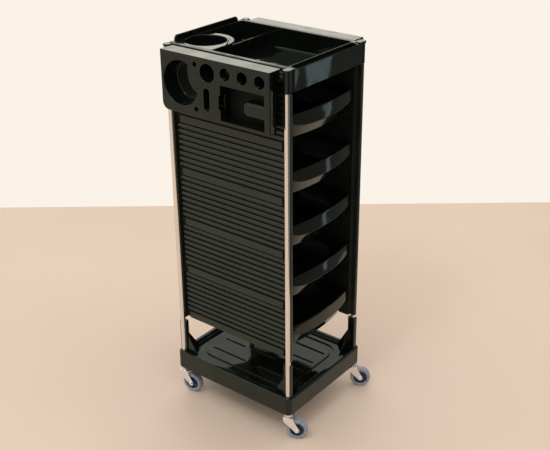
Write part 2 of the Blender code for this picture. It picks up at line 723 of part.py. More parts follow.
def caster_hub():
    """A bored disc with a dished web on both sides."""
    bore = AXLE_R + GAP
    rim = HUB_R - 0.0022
    web = HUB_HALF - 0.0020
    half_profile = [(bore, HUB_HALF), (HUB_BOSS_R, HUB_HALF), (HUB_BOSS_R, web), (rim, web), (rim, HUB_HALF),
                    (HUB_R, HUB_HALF)]
    mirrored = [(radius, -height) for radius, height in reversed(half_profile)]
    return on_axle(turned(half_profile + mirrored, segments=18))


def caster_tyre():
    """A round-shouldered ring whose inner facets clear the hub."""
    segments = 24
    inner = (HUB_R + GAP) / math.cos(math.pi / segments)
    half_profile = [(inner, WHEEL_HALF - 0.0010), (WHEEL_R - TYRE_SHOULDER, WHEEL_HALF),
                    (WHEEL_R - 0.0008, WHEEL_HALF - 0.0028), (WHEEL_R, TYRE_TREAD_HALF)]
    mirrored = [(radius, -height) for radius, height in reversed(half_profile)]
    return on_axle(turned(half_profile + mirrored, segments=segments))


def casters(mats):
    for name in CORNERS:
        place = caster_frame(name)
        swivel = place.translation
        axle = place @ Vector((TRAIL, 0.0, WHEEL_R))
        pieces = (
            ("stem", caster_stem(), "zinc", swivel),
            ("fork", caster_fork(), "zinc", swivel),
            ("axle", caster_axle(), "zinc", axle),
            ("hub", caster_hub(), "hub", axle),
            ("tyre", caster_tyre(), "tyre", axle),
        )
        for kind, obj, slot, origin in pieces:
            tidy(obj)
            obj.data.transform(place)
            finish(set_axis(obj, origin), f"caster_{kind}_{name}", mats[f"{slot}_{name}"])


def caster_materials():
    mats = {}
    for name in CORNERS:
        mats[f"zinc_{name}"] = material(f"zinc_{name}", ZINC, 0.22, 1.0)
        mats[f"hub_{name}"] = material(f"hub_{name}", NAVY, 0.35)
        mats[f"tyre_{name}"] = material(f"tyre_{name}", TYRE_BLUE, 0.25)
    return mats


def build():
    gloss = material("gloss_black", BLACK, 0.12)
    satin = material("satin_black", SATIN_BLACK, 0.45)
    chrome = material("chrome", CHROME, 0.08, 1.0)
    base_tray(gloss)
    for name, (sign_x, sign_y) in CORNERS.items():
        post(f"post_{name}", sign_x, sign_y, chrome)
    side_panel("side_panel_left", -1, satin)
    side_panel("side_panel_right", 1, satin)
    top_frame(gloss)
    top_tray(gloss)
    post_caps(gloss)
    tool_trays(gloss)
    hinge_pins(gloss)
    for number, rim in enumerate(DRAWER_RIMS, start=1):
        drawer(f"drawer_{number}", rim, gloss)
    casters(caster_materials())
    bpy.data.collections.remove(WORK)


clear_scene()
TROLLEY = collection("salon_trolley")
WORK = collection("cutters")
build()
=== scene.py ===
import json
import math

import bmesh
import bpy
from mathutils import Matrix, Vector

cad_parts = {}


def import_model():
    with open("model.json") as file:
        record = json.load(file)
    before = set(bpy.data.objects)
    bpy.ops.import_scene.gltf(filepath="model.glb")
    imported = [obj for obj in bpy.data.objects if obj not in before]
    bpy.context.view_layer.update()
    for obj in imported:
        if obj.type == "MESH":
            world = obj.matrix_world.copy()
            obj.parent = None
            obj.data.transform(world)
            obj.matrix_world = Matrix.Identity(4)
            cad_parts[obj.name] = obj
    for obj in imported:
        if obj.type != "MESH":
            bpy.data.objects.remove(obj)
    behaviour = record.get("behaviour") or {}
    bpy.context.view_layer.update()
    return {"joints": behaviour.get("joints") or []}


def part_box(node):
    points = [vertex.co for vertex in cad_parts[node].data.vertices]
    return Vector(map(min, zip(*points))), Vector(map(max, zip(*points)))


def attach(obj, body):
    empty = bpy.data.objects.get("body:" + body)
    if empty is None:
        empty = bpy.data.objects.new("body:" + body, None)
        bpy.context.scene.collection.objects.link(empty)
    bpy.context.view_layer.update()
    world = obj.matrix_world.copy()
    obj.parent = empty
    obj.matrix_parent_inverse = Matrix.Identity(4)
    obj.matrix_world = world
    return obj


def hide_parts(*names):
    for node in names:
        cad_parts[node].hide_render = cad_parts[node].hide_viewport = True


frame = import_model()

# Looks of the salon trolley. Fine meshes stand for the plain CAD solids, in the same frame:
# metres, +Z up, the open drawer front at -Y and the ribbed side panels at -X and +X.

CORNERS = {"front_left": (-1, -1), "front_right": (1, -1), "back_left": (-1, 1), "back_right": (1, 1)}
SIDES = {"left": -1, "right": 1}
DRAWER_NAMES = [f"drawer_{number}" for number in range(1, 6)]

# Places and sizes taken from the frame
POST_LOW, POST_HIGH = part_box("post_back_right")
POST_X = (POST_LOW.x + POST_HIGH.x) / 2
POST_Y = (POST_LOW.y + POST_HIGH.y) / 2
POST_R = (POST_HIGH.x - POST_LOW.x) / 2
BASE_LOW, BASE_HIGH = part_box("base_tray")
PANEL_LOW, PANEL_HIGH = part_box("side_panel_right")
FRAME_LOW, FRAME_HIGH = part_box("top_frame")
TRAY_LOW, TRAY_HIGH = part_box("top_tray")
TOOL_LOW, TOOL_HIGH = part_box("tool_tray_left")
CAP_LOW, CAP_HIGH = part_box("post_cap_back_right")
DRAWER_RIMS = [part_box(name)[1].z for name in DRAWER_NAMES]
JOINTS = {joint["name"]: joint for joint in frame["joints"]}

# How far a cutter runs past what it cuts, the gap round a fitted part and the play of a moving one
OVER = 0.01
FIT = 0.0002
PLAY = 0.0003

# Side panels. RIB_SHAPE goes up one rib: (rise, share of the rib's depth, edge radius). BAND_STEP is
# where a flat band's lower edge starts and where it has its full depth.
PANEL_INNER = 0.1160
PANEL_FLOOR = 0.1180
RIB_VALLEY = 0.1192
RIB_CREST = 0.1250
BAND_FACE = 0.1240
BAND_HALF = 0.1410
RIB_HALF = 0.1500
RIB_COUNT = 8
RIB_PITCH = 0.0131
RIB_SET_BELOW_RIM = 0.0030
RIB_SHAPE = ((0.0040, 0.0, 0.0003), (0.0046, 0.98, 0.0011), (0.0080, 0.94, 0.0030), (0.0116, 0.72, 0.0016),
             (0.0127, 0.0, 0.0003))
BAND_STEP = (0.0012, 0.0018)
WRAP_FRONT = 0.1678
WRAP_BACK = 0.1522
WEB_BACK = 0.1490
WRAP_INNER = 0.1226
WEB_THICK = 0.0020
LEDGE_REACH = 0.1134
LEDGE_THICK = 0.0030
LEDGE_SPACING = 0.0240
LEDGE_HALF = 0.1330

# Drawers. DRAWER_FLARE is where along Y the sides begin to widen, where they stop, and by how much.
DRAWER_DEPTH = 0.0540
DRAWER_SIDE = 0.1045
DRAWER_END = 0.1560
DRAWER_BOW = 0.0115
DRAWER_FLARE = (0.1340, 0.1520, 0.0082)
DRAWER_WALL = 0.0022
DRAWER_CORNER = 0.0100
CREASE_DROP = 0.0130
CREASE_BOW = 0.0180
RAIL_OUTER = 0.1152
RAIL_HEIGHT = 0.0115

# Top frame. GUTTER is (half width, front, back, depth) and GUARD is (front, back, half width).
FRAME_X = 0.1240
FRAME_Y = 0.1665
FRAME_TOP = CAP_HIGH.z
FRAME_WALL = 0.0030
FRONT_DROP = 0.0030
SOCKET_R = 0.0071
EAR_R = 0.0092
EAR_THICK = 0.0042
EAR_INNER_X = 0.1160
EAR_INNER_Y = 0.1520
CAP_R = (CAP_HIGH.x - CAP_LOW.x) / 2
FRAME_EDGE_R = 0.0100
WEB_HALF = 0.0035
GUTTER = (0.1080, -0.1651, -0.1500, 0.0095)
GUARD = (0.1607, 0.1655, 0.1040)
GUARD_END_R = 0.0090

# Top tray. CUP is (x, y) and DIVIDER is (front, back, top).
TRAY_WALL = 0.0022
TRAY_R = 0.0120
CUP = (-0.0620, 0.1105)
CUP_R = 0.0450
CUP_WELL_R = 0.0480
CUP_PLATE_R = 0.0600
CUP_PLATE_THICK = 0.0060
TRIM = 0.0008
DIVIDER = (0.0800, 0.0826, 0.8630)

# Tool trays, given for the left one. Round places are (y, z, radius), the slot has its half height
# as well, and corners are (y, z). TOOL_SHIFT is how far both sit along their hinges.
TOOL_FACE = TOOL_LOW.x
TOOL_BACK = -0.1420
STRIP_BACK = -0.1275
TOOL_WALL = 0.0024
TOOL_CORNER_R = 0.0170
TOOL_LUG_HEIGHT = 0.0130
TOOL_SLEEVE = 0.0018
TOOL_SHIFT = 0.0040
TOOL_CUP = (0.0905, 0.8140, 0.0485)
TOOL_CUP_FLOOR_R = 0.0425
TOOL_BUMP = (-0.0190, 0.8722, 0.0867)
TOOL_HOLES = [(0.0162, 0.8480, 0.0195)] + [(-0.0315 - 0.0445 * step, 0.8535, 0.0130) for step in range(3)]
TOOL_PIN_HOLES = [(0.0495, 0.8610, 0.0055), (0.0495, 0.7645, 0.0055)]
TOOL_SLOT = (0.0198, 0.7905, 0.0078, 0.0170)
POCKET_LOW, POCKET_HIGH = (-0.1320, 0.7535), (-0.0178, 0.8290)
POCKET_BACK = -0.1324
POCKET_NOTCH = (0.7755, 0.8070)
PAD_LOW, PAD_HIGH = (-0.1330, 0.7690), (-0.0660, 0.8030)
PAD_FACE = -0.1520
PAD_END_R = 0.0130

# Base tray. SLOT_ROWS holds (x, spans along Y), a border (corner, corner, radius), the column
# (span along X, span along Y) and a fin (its tip and root, its two sides).
BASE_X = 0.1435
BASE_Y = 0.1725
BASE_R = 0.0125
BASE_TOP = 0.1120
DECK_TOP = 0.1035
BASE_WALL = 0.0030
RIM_R = 0.0055
SLOT_HALF = 0.0029
SLOT_DEPTH = 0.0026
SLOT_ROWS = ((0.0700, ((0.0175, 0.1180), (-0.1180, -0.0185))),
             (0.0220, ((0.0560, 0.1190), (-0.0375, 0.0375), (-0.1190, -0.0580))))
BORDER_DEPTH = 0.0029
BORDER_OUTER = ((-0.1115, -0.1390), (0.1115, 0.1560), 0.0440)
BORDER_INNER = ((-0.1005, -0.1290), (0.1005, 0.1345), 0.0340)
GUSSET_TOP = BASE_HIGH.z
GUSSET_FLARE_TOP = 0.1640
COLUMN = ((0.1230, 0.1338), (0.1490, 0.1678))
SIDE_FIN = ((0.0864, 0.1250), (0.1494, 0.1540))
END_FIN = ((0.1171, 0.1510), (0.1252, 0.1300))

# Casters
TRAIL = 0.0210
WHEEL_R = 0.0250
HUB_R = 0.0165
HUB_HALF = 0.0082
AXLE_R = 0.0026
FORK_INNER = 0.0104
FORK_THICK = 0.0016
FORK_TOP = 0.0575
HEAD_R = 0.0120
FOOT_R = 0.0062
STEM_R = 0.0042
STEM_TOP = 0.0860
HUB_HOLES = 5
HUB_HOLE_R = 0.0024

# The camera's angle and place
VIEW_AZIMUTH = -51.71
VIEW_ELEVATION = 25.99
VIEW_ROLL = -0.555
VIEW_TARGET = Vector((0.0121, -0.0135, 0.4475))
VIEW_DISTANCE = 2.2575
LENS = 63.82

# The direction in which the room is dark, and the floor's corners as (towards the camera, to the right)
DARK_SIDE = (0.45, -0.89, 0.0)
FLOOR_EDGE = ((-1.08, -5.0), (4.0, -5.0), (4.0, 0.42), (1.25, 0.42), (-1.08, 1.10))

SCENE = bpy.context.scene
SCRATCH = bpy.data.collections.new("scratch")
SCENE.collection.children.link(SCRATCH)


# ---------------------------------------------------------------- mesh tools

def object_from(data):
    """Turn a bmesh into an object in the scratch collection."""
    bmesh.ops.recalc_face_normals(data, faces=data.faces)
    mesh = bpy.data.meshes.new("piece")
    data.to_mesh(mesh)
    data.free()
    obj = bpy.data.objects.new("piece", mesh)
    SCRATCH.objects.link(obj)
    return obj


def arc(cx, cy, radius, start, end, steps):
    """Points along an arc, with both ends; angles in degrees."""
    angles = [math.radians(start + (end - start) * step / steps) for step in range(steps + 1)]
    return [(cx + radius * math.cos(a), cy + radius * math.sin(a)) for a in angles]


def rounded_rectangle(low, high, radii, steps=8):
    """Corner radii run from the low-low corner, counter-clockwise; a single radius does for all."""
    if not isinstance(radii, (list, tuple)):
        radii = [radii] * 4
    (x0, y0), (x1, y1) = low, high
    corners = [(x0, y0, 1, 1, 180), (x1, y0, -1, 1, 270), (x1, y1, -1, -1, 0), (x0, y1, 1, -1, 90)]
    points = []
    for (cx, cy, sx, sy, start), radius in zip(corners, radii):
        if radius == 0:
            points.append((cx, cy))
        else:
            points += arc(cx + sx * radius, cy + sy * radius, radius, start, start + 90, steps)
    return points


def fillet(points, radii, closed=True, steps=4):
    """A polygon or an open line with its corners rounded."""
    rounded = []
    count = len(points)
    for index, (point, radius) in enumerate(zip(points, radii)):
        here = Vector(point)
        if radius == 0 or (not closed and index in (0, count - 1)):
            rounded.append(tuple(here))
            continue
        before = Vector(points[index - 1]) - here
        after = Vector(points[(index + 1) % count]) - here
        reach = radius / math.tan(before.angle(after) / 2)
        start = here + before.normalized() * reach
        end = here + after.normalized() * reach
        for step in range(steps + 1):
            share = step / steps
            spot = (1 - share) ** 2 * start + 2 * share * (1 - share) * here + share ** 2 * end
            rounded.append(tuple(spot))
    return rounded


def prism(outline, low, high, axis="Z"):
    """An outline extruded along an axis; the outline holds the other two coordinates in order."""
    places = {"X": lambda u, v, w: (w, u, v), "Y": lambda u, v, w: (u, w, v), "Z": lambda u, v, w: (u, v, w)}
    place = places[axis]
    data = bmesh.new()
    lower = [data.verts.new(place(u, v, low)) for u, v in outline]
    upper = [data.verts.new(place(u, v, high)) for u, v in outline]
    data.faces.new(lower)
    data.faces.new(upper)
    for index in range(len(outline)):
        after = (index + 1) % len(outline)
        data.faces.new((lower[index], lower[after], upper[after], upper[index]))
    return object_from(data)


def rectangle(low, high):
    return [(low[0], low[1]), (high[0], low[1]), (high[0], high[1]), (low[0], high[1])]


def box(low, high):
    return prism(rectangle(low, high), low[2], high[2])


def disc(centre, radius, low, high, axis="Z", segments=96):
    """A round prism; centre holds the other two coordinates in order."""
    outline = arc(centre[0], centre[1], radius, 0, 360 - 360 / segments, segments - 1)
    return prism(outline, low, high, axis)


def skin(rings, closed=False):
    """A surface through rings of points; a closed one joins last to first, any other is capped."""
    data = bmesh.new()
    loops = [[data.verts.new(point) for point in ring] for ring in rings]
    pairs = list(zip(loops, loops[1:] + loops[:1] if closed else loops[1:]))
    for lower, upper in pairs:
        for index in range(len(lower)):
            after = (index + 1) % len(lower)
            data.faces.new((lower[index], lower[after], upper[after], upper[index]))
    if not closed:
        data.faces.new(loops[0])
        data.faces.new(loops[-1])
    return object_from(data)


def lathe(profile, segments=72, closed=False):
    """A profile of (radius, height) points turned about +Z; an open one starts and ends on the axis."""
    data = bmesh.new()
    columns = []
    for radius, height in profile:
        if radius == 0:
            columns.append([data.verts.new((0, 0, height))] * segments)
            continue
        angles = [math.tau * step / segments for step in range(segments)]
        columns.append([data.verts.new((radius * math.cos(a), radius * math.sin(a), height)) for a in angles])
    for lower, upper in zip(columns, columns[1:] + columns[:1] if closed else columns[1:]):
        for index in range(segments):
            after = (index + 1) % segments
            corners = []
            for vert in (lower[index], lower[after], upper[after], upper[index]):
                if vert not in corners:
                    corners.append(vert)
            if len(corners) > 2:
                data.faces.new(corners)
    return object_from(data)


def hull(points):
    data = bmesh.new()
    for point in points:
        data.verts.new(point)
    result = bmesh.ops.convex_hull(data, input=data.verts)
    spare = {item for item in result["geom_interior"] + result["geom_unused"]
             if isinstance(item, bmesh.types.BMVert)}
    bmesh.ops.delete(data, geom=list(spare), context="VERTS")
    bmesh.ops.dissolve_limit(data, angle_limit=math.radians(0.5), verts=data.verts, edges=data.edges)
    return object_from(data)


def gathered(pieces):
    """Several separate solids as one mesh."""
    data = bmesh.new()
    for item in pieces:
        item.data.transform(item.matrix_basis)
        data.from_mesh(item.data)
        bpy.data.objects.remove(item, do_unlink=True)
    return object_from(data)


def boolean(base, tool, operation):
    modifier = base.modifiers.new("Boolean", "BOOLEAN")
    modifier.operation = operation
    modifier.solver = "EXACT"
    modifier.object = tool
    view = base.evaluated_get(bpy.context.evaluated_depsgraph_get())
    mesh = bpy.data.meshes.new_from_object(view)
    base.modifiers.clear()
    base.data = mesh
    bpy.data.objects.remove(tool, do_unlink=True)
    return base


def joined(base, *pieces):
    for item in pieces:
        boolean(base, item, "UNION")
    return base


def cut(base, *pieces):
    return boolean(base, gathered(pieces), "DIFFERENCE")


def clean(obj):
    """Merge doubled points and flat neighbours, so that only real edges are left to soften."""
    data = bmesh.new()
    data.from_mesh(obj.data)
    bmesh.ops.remove_doubles(data, verts=data.verts, dist=0.00002)
    bmesh.ops.dissolve_limit(data, angle_limit=math.radians(0.5), verts=data.verts, edges=data.edges)
    data.to_mesh(obj.data)
    data.free()
    return obj


def soften(obj, width, segments=3, angle=30):
    """Round the hard edges."""
    bevel = clean(obj).modifiers.new("Edges", "BEVEL")
    bevel.width = width
    bevel.segments = segments
    bevel.limit_method = "ANGLE"
    bevel.angle_limit = math.radians(angle)
    bevel.use_clamp_overlap = False
    bevel.miter_outer = "MITER_ARC"
    return obj


def piece(obj, name, finish, body, *nodes):
    """Name a finished piece, give it its finish's material (the finish's slot name is unpacked but not used)
    and hang it on its body.
    """
    mat, slot = finish
    obj.name = name
    obj.data.name = name
    obj.data.materials.clear()
    obj.data.materials.append(mat)
    obj.data.shade_smooth()
    obj.data.set_sharp_from_angle(angle=math.radians(40))
    weighted = obj.modifiers.new("Normals", "WEIGHTED_NORMAL")
    weighted.keep_sharp = True
    SCRATCH.objects.unlink(obj)
    SCENE.collection.objects.link(obj)
    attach(obj, body)
    if nodes:
        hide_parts(*nodes)
    return obj


def mirrored(outline, sign_x, sign_y):
    return [(sign_x * x, sign_y * y) for x, y in outline]


def both_sides(half):
    """A wheel's section from its outer half, for a closed lathe."""
    return half + [(radius, -height) for radius, height in reversed(half)]


# ---------------------------------------------------------------- materials

class Tree:
    """A short way to wire a node tree."""

    def __init__(self, tree):
        self.tree = tree

    def add(self, kind, **inputs):
        node = self.tree.nodes.new(kind)
        for key, value in inputs.items():
            node.inputs[key].default_value = value
        return node

    def link(self, source, target):
        self.tree.links.new(source, target)

    def ranged(self, value, low, high, start=0.3, end=0.7):
        node = self.add("ShaderNodeMapRange")
        for key, number in zip(("From Min", "From Max", "To Min", "To Max"), (start, end, low, high)):
            node.inputs[key].default_value = number
        self.link(value, node.inputs["Value"])
        return node.outputs["Result"]


class Nodes(Tree):
    """A material's nodes."""

    def __init__(self, name):
        self.mat = bpy.data.materials.new(name)
        self.mat.use_nodes = True
        super().__init__(self.mat.node_tree)
        self.shader = self.tree.nodes["Principled BSDF"]
        self.place = self.add("ShaderNodeTexCoord").outputs["Object"]

    def stretched(self, scale):
        mapping = self.add("ShaderNodeMapping", Scale=scale)
        self.link(self.place, mapping.inputs["Vector"])
        return mapping.outputs["Vector"]

    def noise(self, scale, detail=3.0, roughness=0.5, stretch=None):
        node = self.add("ShaderNodeTexNoise", Scale=scale, Detail=detail, Roughness=roughness)
        self.link(self.stretched(stretch) if stretch else self.place, node.inputs["Vector"])
        return node.outputs["Fac"]

    def colour(self, value, low, high):
        """Base colour between two tones."""
        node = self.tree.nodes.new("ShaderNodeMix")
        node.data_type = "RGBA"
        node.inputs["A"].default_value = (*low, 1.0)
        node.inputs["B"].default_value = (*high, 1.0)
        self.link(self.ranged(value, 0.0, 1.0), node.inputs["Factor"])
        self.link(node.outputs["Result"], self.shader.inputs["Base Color"])

    def bumps(self, *layers):
        """Layers of (height, distance), each on top of the one before."""
        normal = None
        for height, distance in layers:
            node = self.add("ShaderNodeBump", Strength=1.0, Distance=distance)
            self.link(height, node.inputs["Height"])
            if normal:
                self.link(normal, node.inputs["Normal"])
            normal = node.outputs["Normal"]
        self.link(normal, self.shader.inputs["Normal"])

    def roughness(self, value, low, high):
        self.link(self.ranged(value, low, high), self.shader.inputs["Roughness"])


def gloss_black():
    """High-gloss moulded ABS: near-mirror, with orange peel, faint sink marks and hairline wear."""
    made = Nodes("gloss_black_abs")
    made.colour(made.noise(9.0), (0.0030, 0.0040, 0.0032), (0.0050, 0.0062, 0.0050))
    made.roughness(made.noise(35.0, 5.0, 0.6), 0.04, 0.10)
    made.bumps((made.noise(11.0, 1.5), 0.0030), (made.noise(900.0, 2.0), 0.000012))
    made.shader.inputs["IOR"].default_value = 1.50
    made.shader.inputs["Specular Tint"].default_value = (0.70, 0.90, 0.80, 1.0)
    return made.mat


def satin_black():
    """Satin moulded ABS with a fine even grain."""
    made = Nodes("satin_black_abs")
    made.colour(made.noise(14.0), (0.0090, 0.0110, 0.0085), (0.0130, 0.0155, 0.0120))
    made.roughness(made.noise(60.0, 4.0, 0.6), 0.22, 0.32)
    made.shader.inputs["Specular Tint"].default_value = (0.80, 0.97, 0.84, 1.0)
    made.bumps((made.noise(20.0, 1.0), 0.0006), (made.noise(1800.0, 3.0), 0.00003))
    return made.mat


def pocket_shade_black():
    """Painted shade: a near-black sheet that hardly shines, standing in for the shade deep in a pocket."""
    made = Nodes("pocket_shade_black_abs")
    made.colour(made.noise(30.0), (0.0022, 0.0030, 0.0026), (0.0045, 0.0058, 0.0052))
    made.roughness(made.noise(80.0, 4.0), 0.45, 0.60)
    made.bumps((made.noise(1500.0, 3.0), 0.00004))
    made.shader.inputs["Specular IOR Level"].default_value = 0.12
    return made.mat


def chrome(name, tone, low, high, along):
    """Polished plating with faint drawing lines along the part."""
    made = Nodes(name)
    made.colour(made.noise(6.0), tone, [min(1.0, value * 1.06) for value in tone])
    made.roughness(made.noise(30.0, 4.0, 0.6, along), low, high)
    made.bumps((made.noise(400.0, 2.0, 0.5, along), 0.000010), (made.noise(40.0, 2.0), 0.00006))
    made.shader.inputs["Metallic"].default_value = 1.0
    return made.mat


def hub_navy():
    made = Nodes("hub_navy_nylon")
    made.colour(made.noise(160.0), (0.006, 0.016, 0.055), (0.010, 0.026, 0.080))
    made.roughness(made.noise(300.0, 4.0), 0.22, 0.38)
    made.bumps((made.noise(1500.0, 3.0), 0.00002))
    return made.mat


def tyre_blue():
    """Clear bluish polyurethane: some light passes through, and the surface is softly scuffed."""
    made = Nodes("tyre_translucent_blue")
    made.colour(made.noise(120.0), (0.30, 0.36, 0.46), (0.42, 0.48, 0.58))
    made.roughness(made.noise(260.0, 5.0, 0.6), 0.14, 0.34)
    made.bumps((made.noise(700.0, 3.0), 0.00003))
    made.shader.inputs["Transmission Weight"].default_value = 0.35
    made.shader.inputs["IOR"].default_value = 1.49
    return made.mat


def floor_beige():
    made = Nodes("floor_beige")
    made.colour(made.noise(1.6, 2.0), (0.66, 0.53, 0.44), (0.70, 0.57, 0.48))
    made.roughness(made.noise(3.0, 3.0), 0.42, 0.55)
    made.bumps((made.noise(60.0, 3.0), 0.00004))
    return made.mat


BLACK = (gloss_black(), "gloss_black")
SATIN = (satin_black(), "satin_black")
# The pocket sheet's near-black that hardly shines: painted shade, not a material of its own.
POCKET_SHADE = (pocket_shade_black(), "satin_black")
CHROME = (chrome("chromed_tube", (0.80, 0.78, 0.75), 0.05, 0.14, (1.0, 1.0, 0.02)), "post_chrome")
ZINC = (chrome("zinc_plate", (0.86, 0.87, 0.88), 0.08, 0.20, (1.0, 1.0, 1.0)), "caster_zinc")
NAVY = (hub_navy(), "hub_navy")
TYRE = (tyre_blue(), "tyre_blue")


def fixed(obj, name, *nodes, finish=BLACK):
    """A piece of the trolley's own body."""
    piece(obj, name, finish, "trolley", *nodes)


# ---------------------------------------------------------------- posts and top

def posts():
    wall = 0.0010
    edge = 0.0003
    top, bottom = POST_HIGH.z, POST_LOW.z
    inner = POST_R - wall
    profile = [(inner, top - edge), (inner + edge, top), (POST_R - edge, top), (POST_R, top - edge)]
    profile += [(POST_R, bottom + edge), (POST_R - edge, bottom), (inner + edge, bottom)]
    profile += [(inner, bottom + edge)]
    for name, (sign_x, sign_y) in CORNERS.items():
        tube = lathe(profile, closed=True)
        tube.location = (sign_x * POST_X, sign_y * POST_Y, 0.0)
        fixed(tube, f"tube_{name}", f"post_{name}", finish=CHROME)


def ear(name, sign_x, sign_y):
    """A corner of the top frame: the flat plate on top, the socket over the tube, its web and the cap."""
    low = FRAME_LOW.z
    centre = (sign_x * POST_X, sign_y * POST_Y)
    side_step = EAR_R ** 2 - (POST_Y - EAR_INNER_Y) ** 2
    start = -math.degrees(math.acos(-math.sqrt(side_step) / EAR_R))
    edge_y = FRAME_Y - PLAY
    end = 180 - math.degrees(math.asin((edge_y - POST_Y) / EAR_R))
    outline = [(EAR_INNER_X, edge_y), (EAR_INNER_X, EAR_INNER_Y), *arc(POST_X, POST_Y, EAR_R, start, end, 40)]
    plate = prism(mirrored(outline, sign_x, sign_y), FRAME_TOP - EAR_THICK, FRAME_TOP)
    seat = disc(centre, CAP_R + FIT, FRAME_TOP - 0.0013, FRAME_TOP + OVER)
    soften(cut(plate, seat), 0.0005, 2)
    fixed(plate, f"frame_ear_{name}")
    bottom, stop, roof = low + 0.0003, low + 0.02, FRAME_TOP - EAR_THICK + 0.0005
    socket = lathe([(0, stop), (POST_R, stop), (POST_R, bottom), (SOCKET_R - 0.0003, bottom),
                    (SOCKET_R, low + 0.0008), (SOCKET_R, roof), (0, roof)])
    socket.location = (*centre, 0.0)
    fixed(socket, f"frame_socket_{name}")
    web_outline = rectangle((FRAME_X - 0.002, POST_Y - WEB_HALF), (POST_X - 0.005, POST_Y + WEB_HALF))
    web = prism(mirrored(web_outline, sign_x, sign_y), low + 0.0006, FRAME_TOP - 0.003)
    fixed(soften(web, 0.0005, 2), f"frame_web_{name}")
    rim = 0.0004
    cap = lathe([(0, CAP_LOW.z), (CAP_R - rim, CAP_LOW.z), (CAP_R, CAP_LOW.z + rim), (CAP_R, FRAME_TOP - rim),
                 (CAP_R - 0.3 * rim, FRAME_TOP - 0.3 * rim), (CAP_R - rim, FRAME_TOP), (0, FRAME_TOP)])
    cap.location = (*centre, 0.0)
    fixed(cap, f"tube_cap_{name}", f"post_cap_{name}")


def between(first, second, share, height):
    """A ring part of the way from one outline to another; height may depend on y."""
    ring = []
    for (x0, y0), (x1, y1) in zip(first, second):
        x, y = x0 + (x1 - x0) * share, y0 + (y1 - y0) * share
        ring.append((x, y, height(y) if callable(height) else height))
    return ring


def frame_body():
    """The frame's closed section, skinned from ring to ring between its outlines."""
    low, top = FRAME_LOW.z, FRAME_TOP
    outer = rounded_rectangle((-FRAME_X, -FRAME_Y), (FRAME_X, FRAME_Y), FRAME_EDGE_R)
    tray_low, tray_high = (TRAY_LOW.x - PLAY, TRAY_LOW.y - PLAY), (TRAY_HIGH.x + PLAY, TRAY_HIGH.y + PLAY)
    opening = rounded_rectangle(tray_low, tray_high, TRAY_R + PLAY)
    cavity = rounded_rectangle((-FRAME_X + FRAME_WALL, -FRAME_Y + FRAME_WALL),
                               (FRAME_X - FRAME_WALL, FRAME_Y - FRAME_WALL), FRAME_EDGE_R - FRAME_WALL)

    def sloped(drop):
        """The front rim falls away towards the front edge."""
        reach = FRAME_Y + TRAY_LOW.y
        return lambda y: top - drop - FRONT_DROP * max(0.0, (TRAY_LOW.y - y) / reach)

    rings = [(cavity, 0.3, low), (cavity, 0.0, low + 0.0008), (cavity, 0.0, sloped(0.0014))]
    rings += [(opening, share, sloped(drop)) for share, drop in (
        (0.025, 0.0006), (0.06, 0.0002), (0.11, 0.0), (0.93, 0.0), (0.98, 0.0003), (1.0, 0.0008))]
    rings += [(opening, 1.0, top - 0.0040), (cavity, 1.0, top - 0.0042), (cavity, 1.0, low + 0.0008),
              (cavity, 0.8, low)]
    return skin([between(outer, inner, share, height) for inner, share, height in rings], closed=True)


def top_frame():
    body = frame_body()
    half, start, end, depth = GUTTER
    gutter_floor = FRAME_TOP - depth
    gutter = rounded_rectangle((-half, start), (half, end), 0.006)
    cut(body, prism(gutter, gutter_floor, FRAME_TOP + OVER))
    fixed(body, "frame_moulding", "top_frame")
    base_plate = box((-half - 0.001, start - 0.001, gutter_floor - 0.0015), (half + 0.001, end, gutter_floor))
    fixed(soften(base_plate, 0.0004, 2), "frame_gutter_base")
    front, back, half = GUARD
    foot = FRAME_TOP - 0.003
    outline = rounded_rectangle((-half, foot), (half, FRAME_HIGH.z), [0, 0, GUARD_END_R, GUARD_END_R], 12)
    fixed(soften(prism(outline, front, back, "Y"), 0.0012), "frame_guard")
    for name, (sign_x, sign_y) in CORNERS.items():
        ear(name, sign_x, sign_y)


def inset_rings(low, high, radius, profile, steps=8):
    """Rounded rectangles pulled in from one outline, at (inset, height) steps."""
    rings = []
    for inset, height in profile:
        outline = rounded_rectangle((low[0] + inset, low[1] + inset), (high[0] - inset, high[1] - inset),
                                    max(radius - inset, 0.0015), steps)
        rings.append([(x, y, height) for x, y in outline])
    return rings


def tray_profile():
    """The tray's wall as (inset, height), from under its outer edge to the floor's cove."""
    low, high, wall = TRAY_LOW.z, TRAY_HIGH.z, TRAY_WALL
    floor = low + wall
    outside = [(0.0030, low), (0.0009, low + 0.0009), (0.0, low + 0.003), (0.0, high - 0.0008)]
    lip = [(0.0003, high - 0.0003), (0.0008, high), (wall - 0.0006, high), (wall - 0.0001, high - 0.0004),
           (wall, high - 0.0010)]
    cove = [(wall + inset, floor + rise) for inset, rise in (
        (0.0006, 0.0050), (0.0010, 0.0026), (0.0020, 0.0010), (0.0036, 0.0002), (0.0056, 0.0))]
    return outside + lip + cove


def cup_holder():
    """The round plate over the well, merged with the tray's back left corner."""
    low, high = TRAY_LOW, TRAY_HIGH
    floor = low.z + TRAY_WALL
    plate_low = high.z - CUP_PLATE_THICK
    well = disc(CUP, CUP_WELL_R, floor - 0.0005, high.z - 0.0006)
    plate = disc(CUP, CUP_PLATE_R, plate_low, high.z - 0.0001)
    plate_front = CUP[1] - CUP_PLATE_R + 0.0002
    joined(plate, box((low.x, plate_front, plate_low + 0.0001), (CUP[0], high.y, high.z - 0.0001)))
    corner = box((low.x, CUP[1], floor - 0.0004), (CUP[0], high.y, high.z - 0.0004))
    joined(plate, well, corner)
    trim = rounded_rectangle((low.x + TRIM, low.y + TRIM), (high.x - TRIM, high.y - TRIM), TRAY_R - TRIM)
    boolean(plate, prism(trim, low.z, high.z + OVER), "INTERSECT")
    cut(plate, disc(CUP, CUP_R, floor, high.z + OVER))
    return soften(plate, 0.0014, 4)


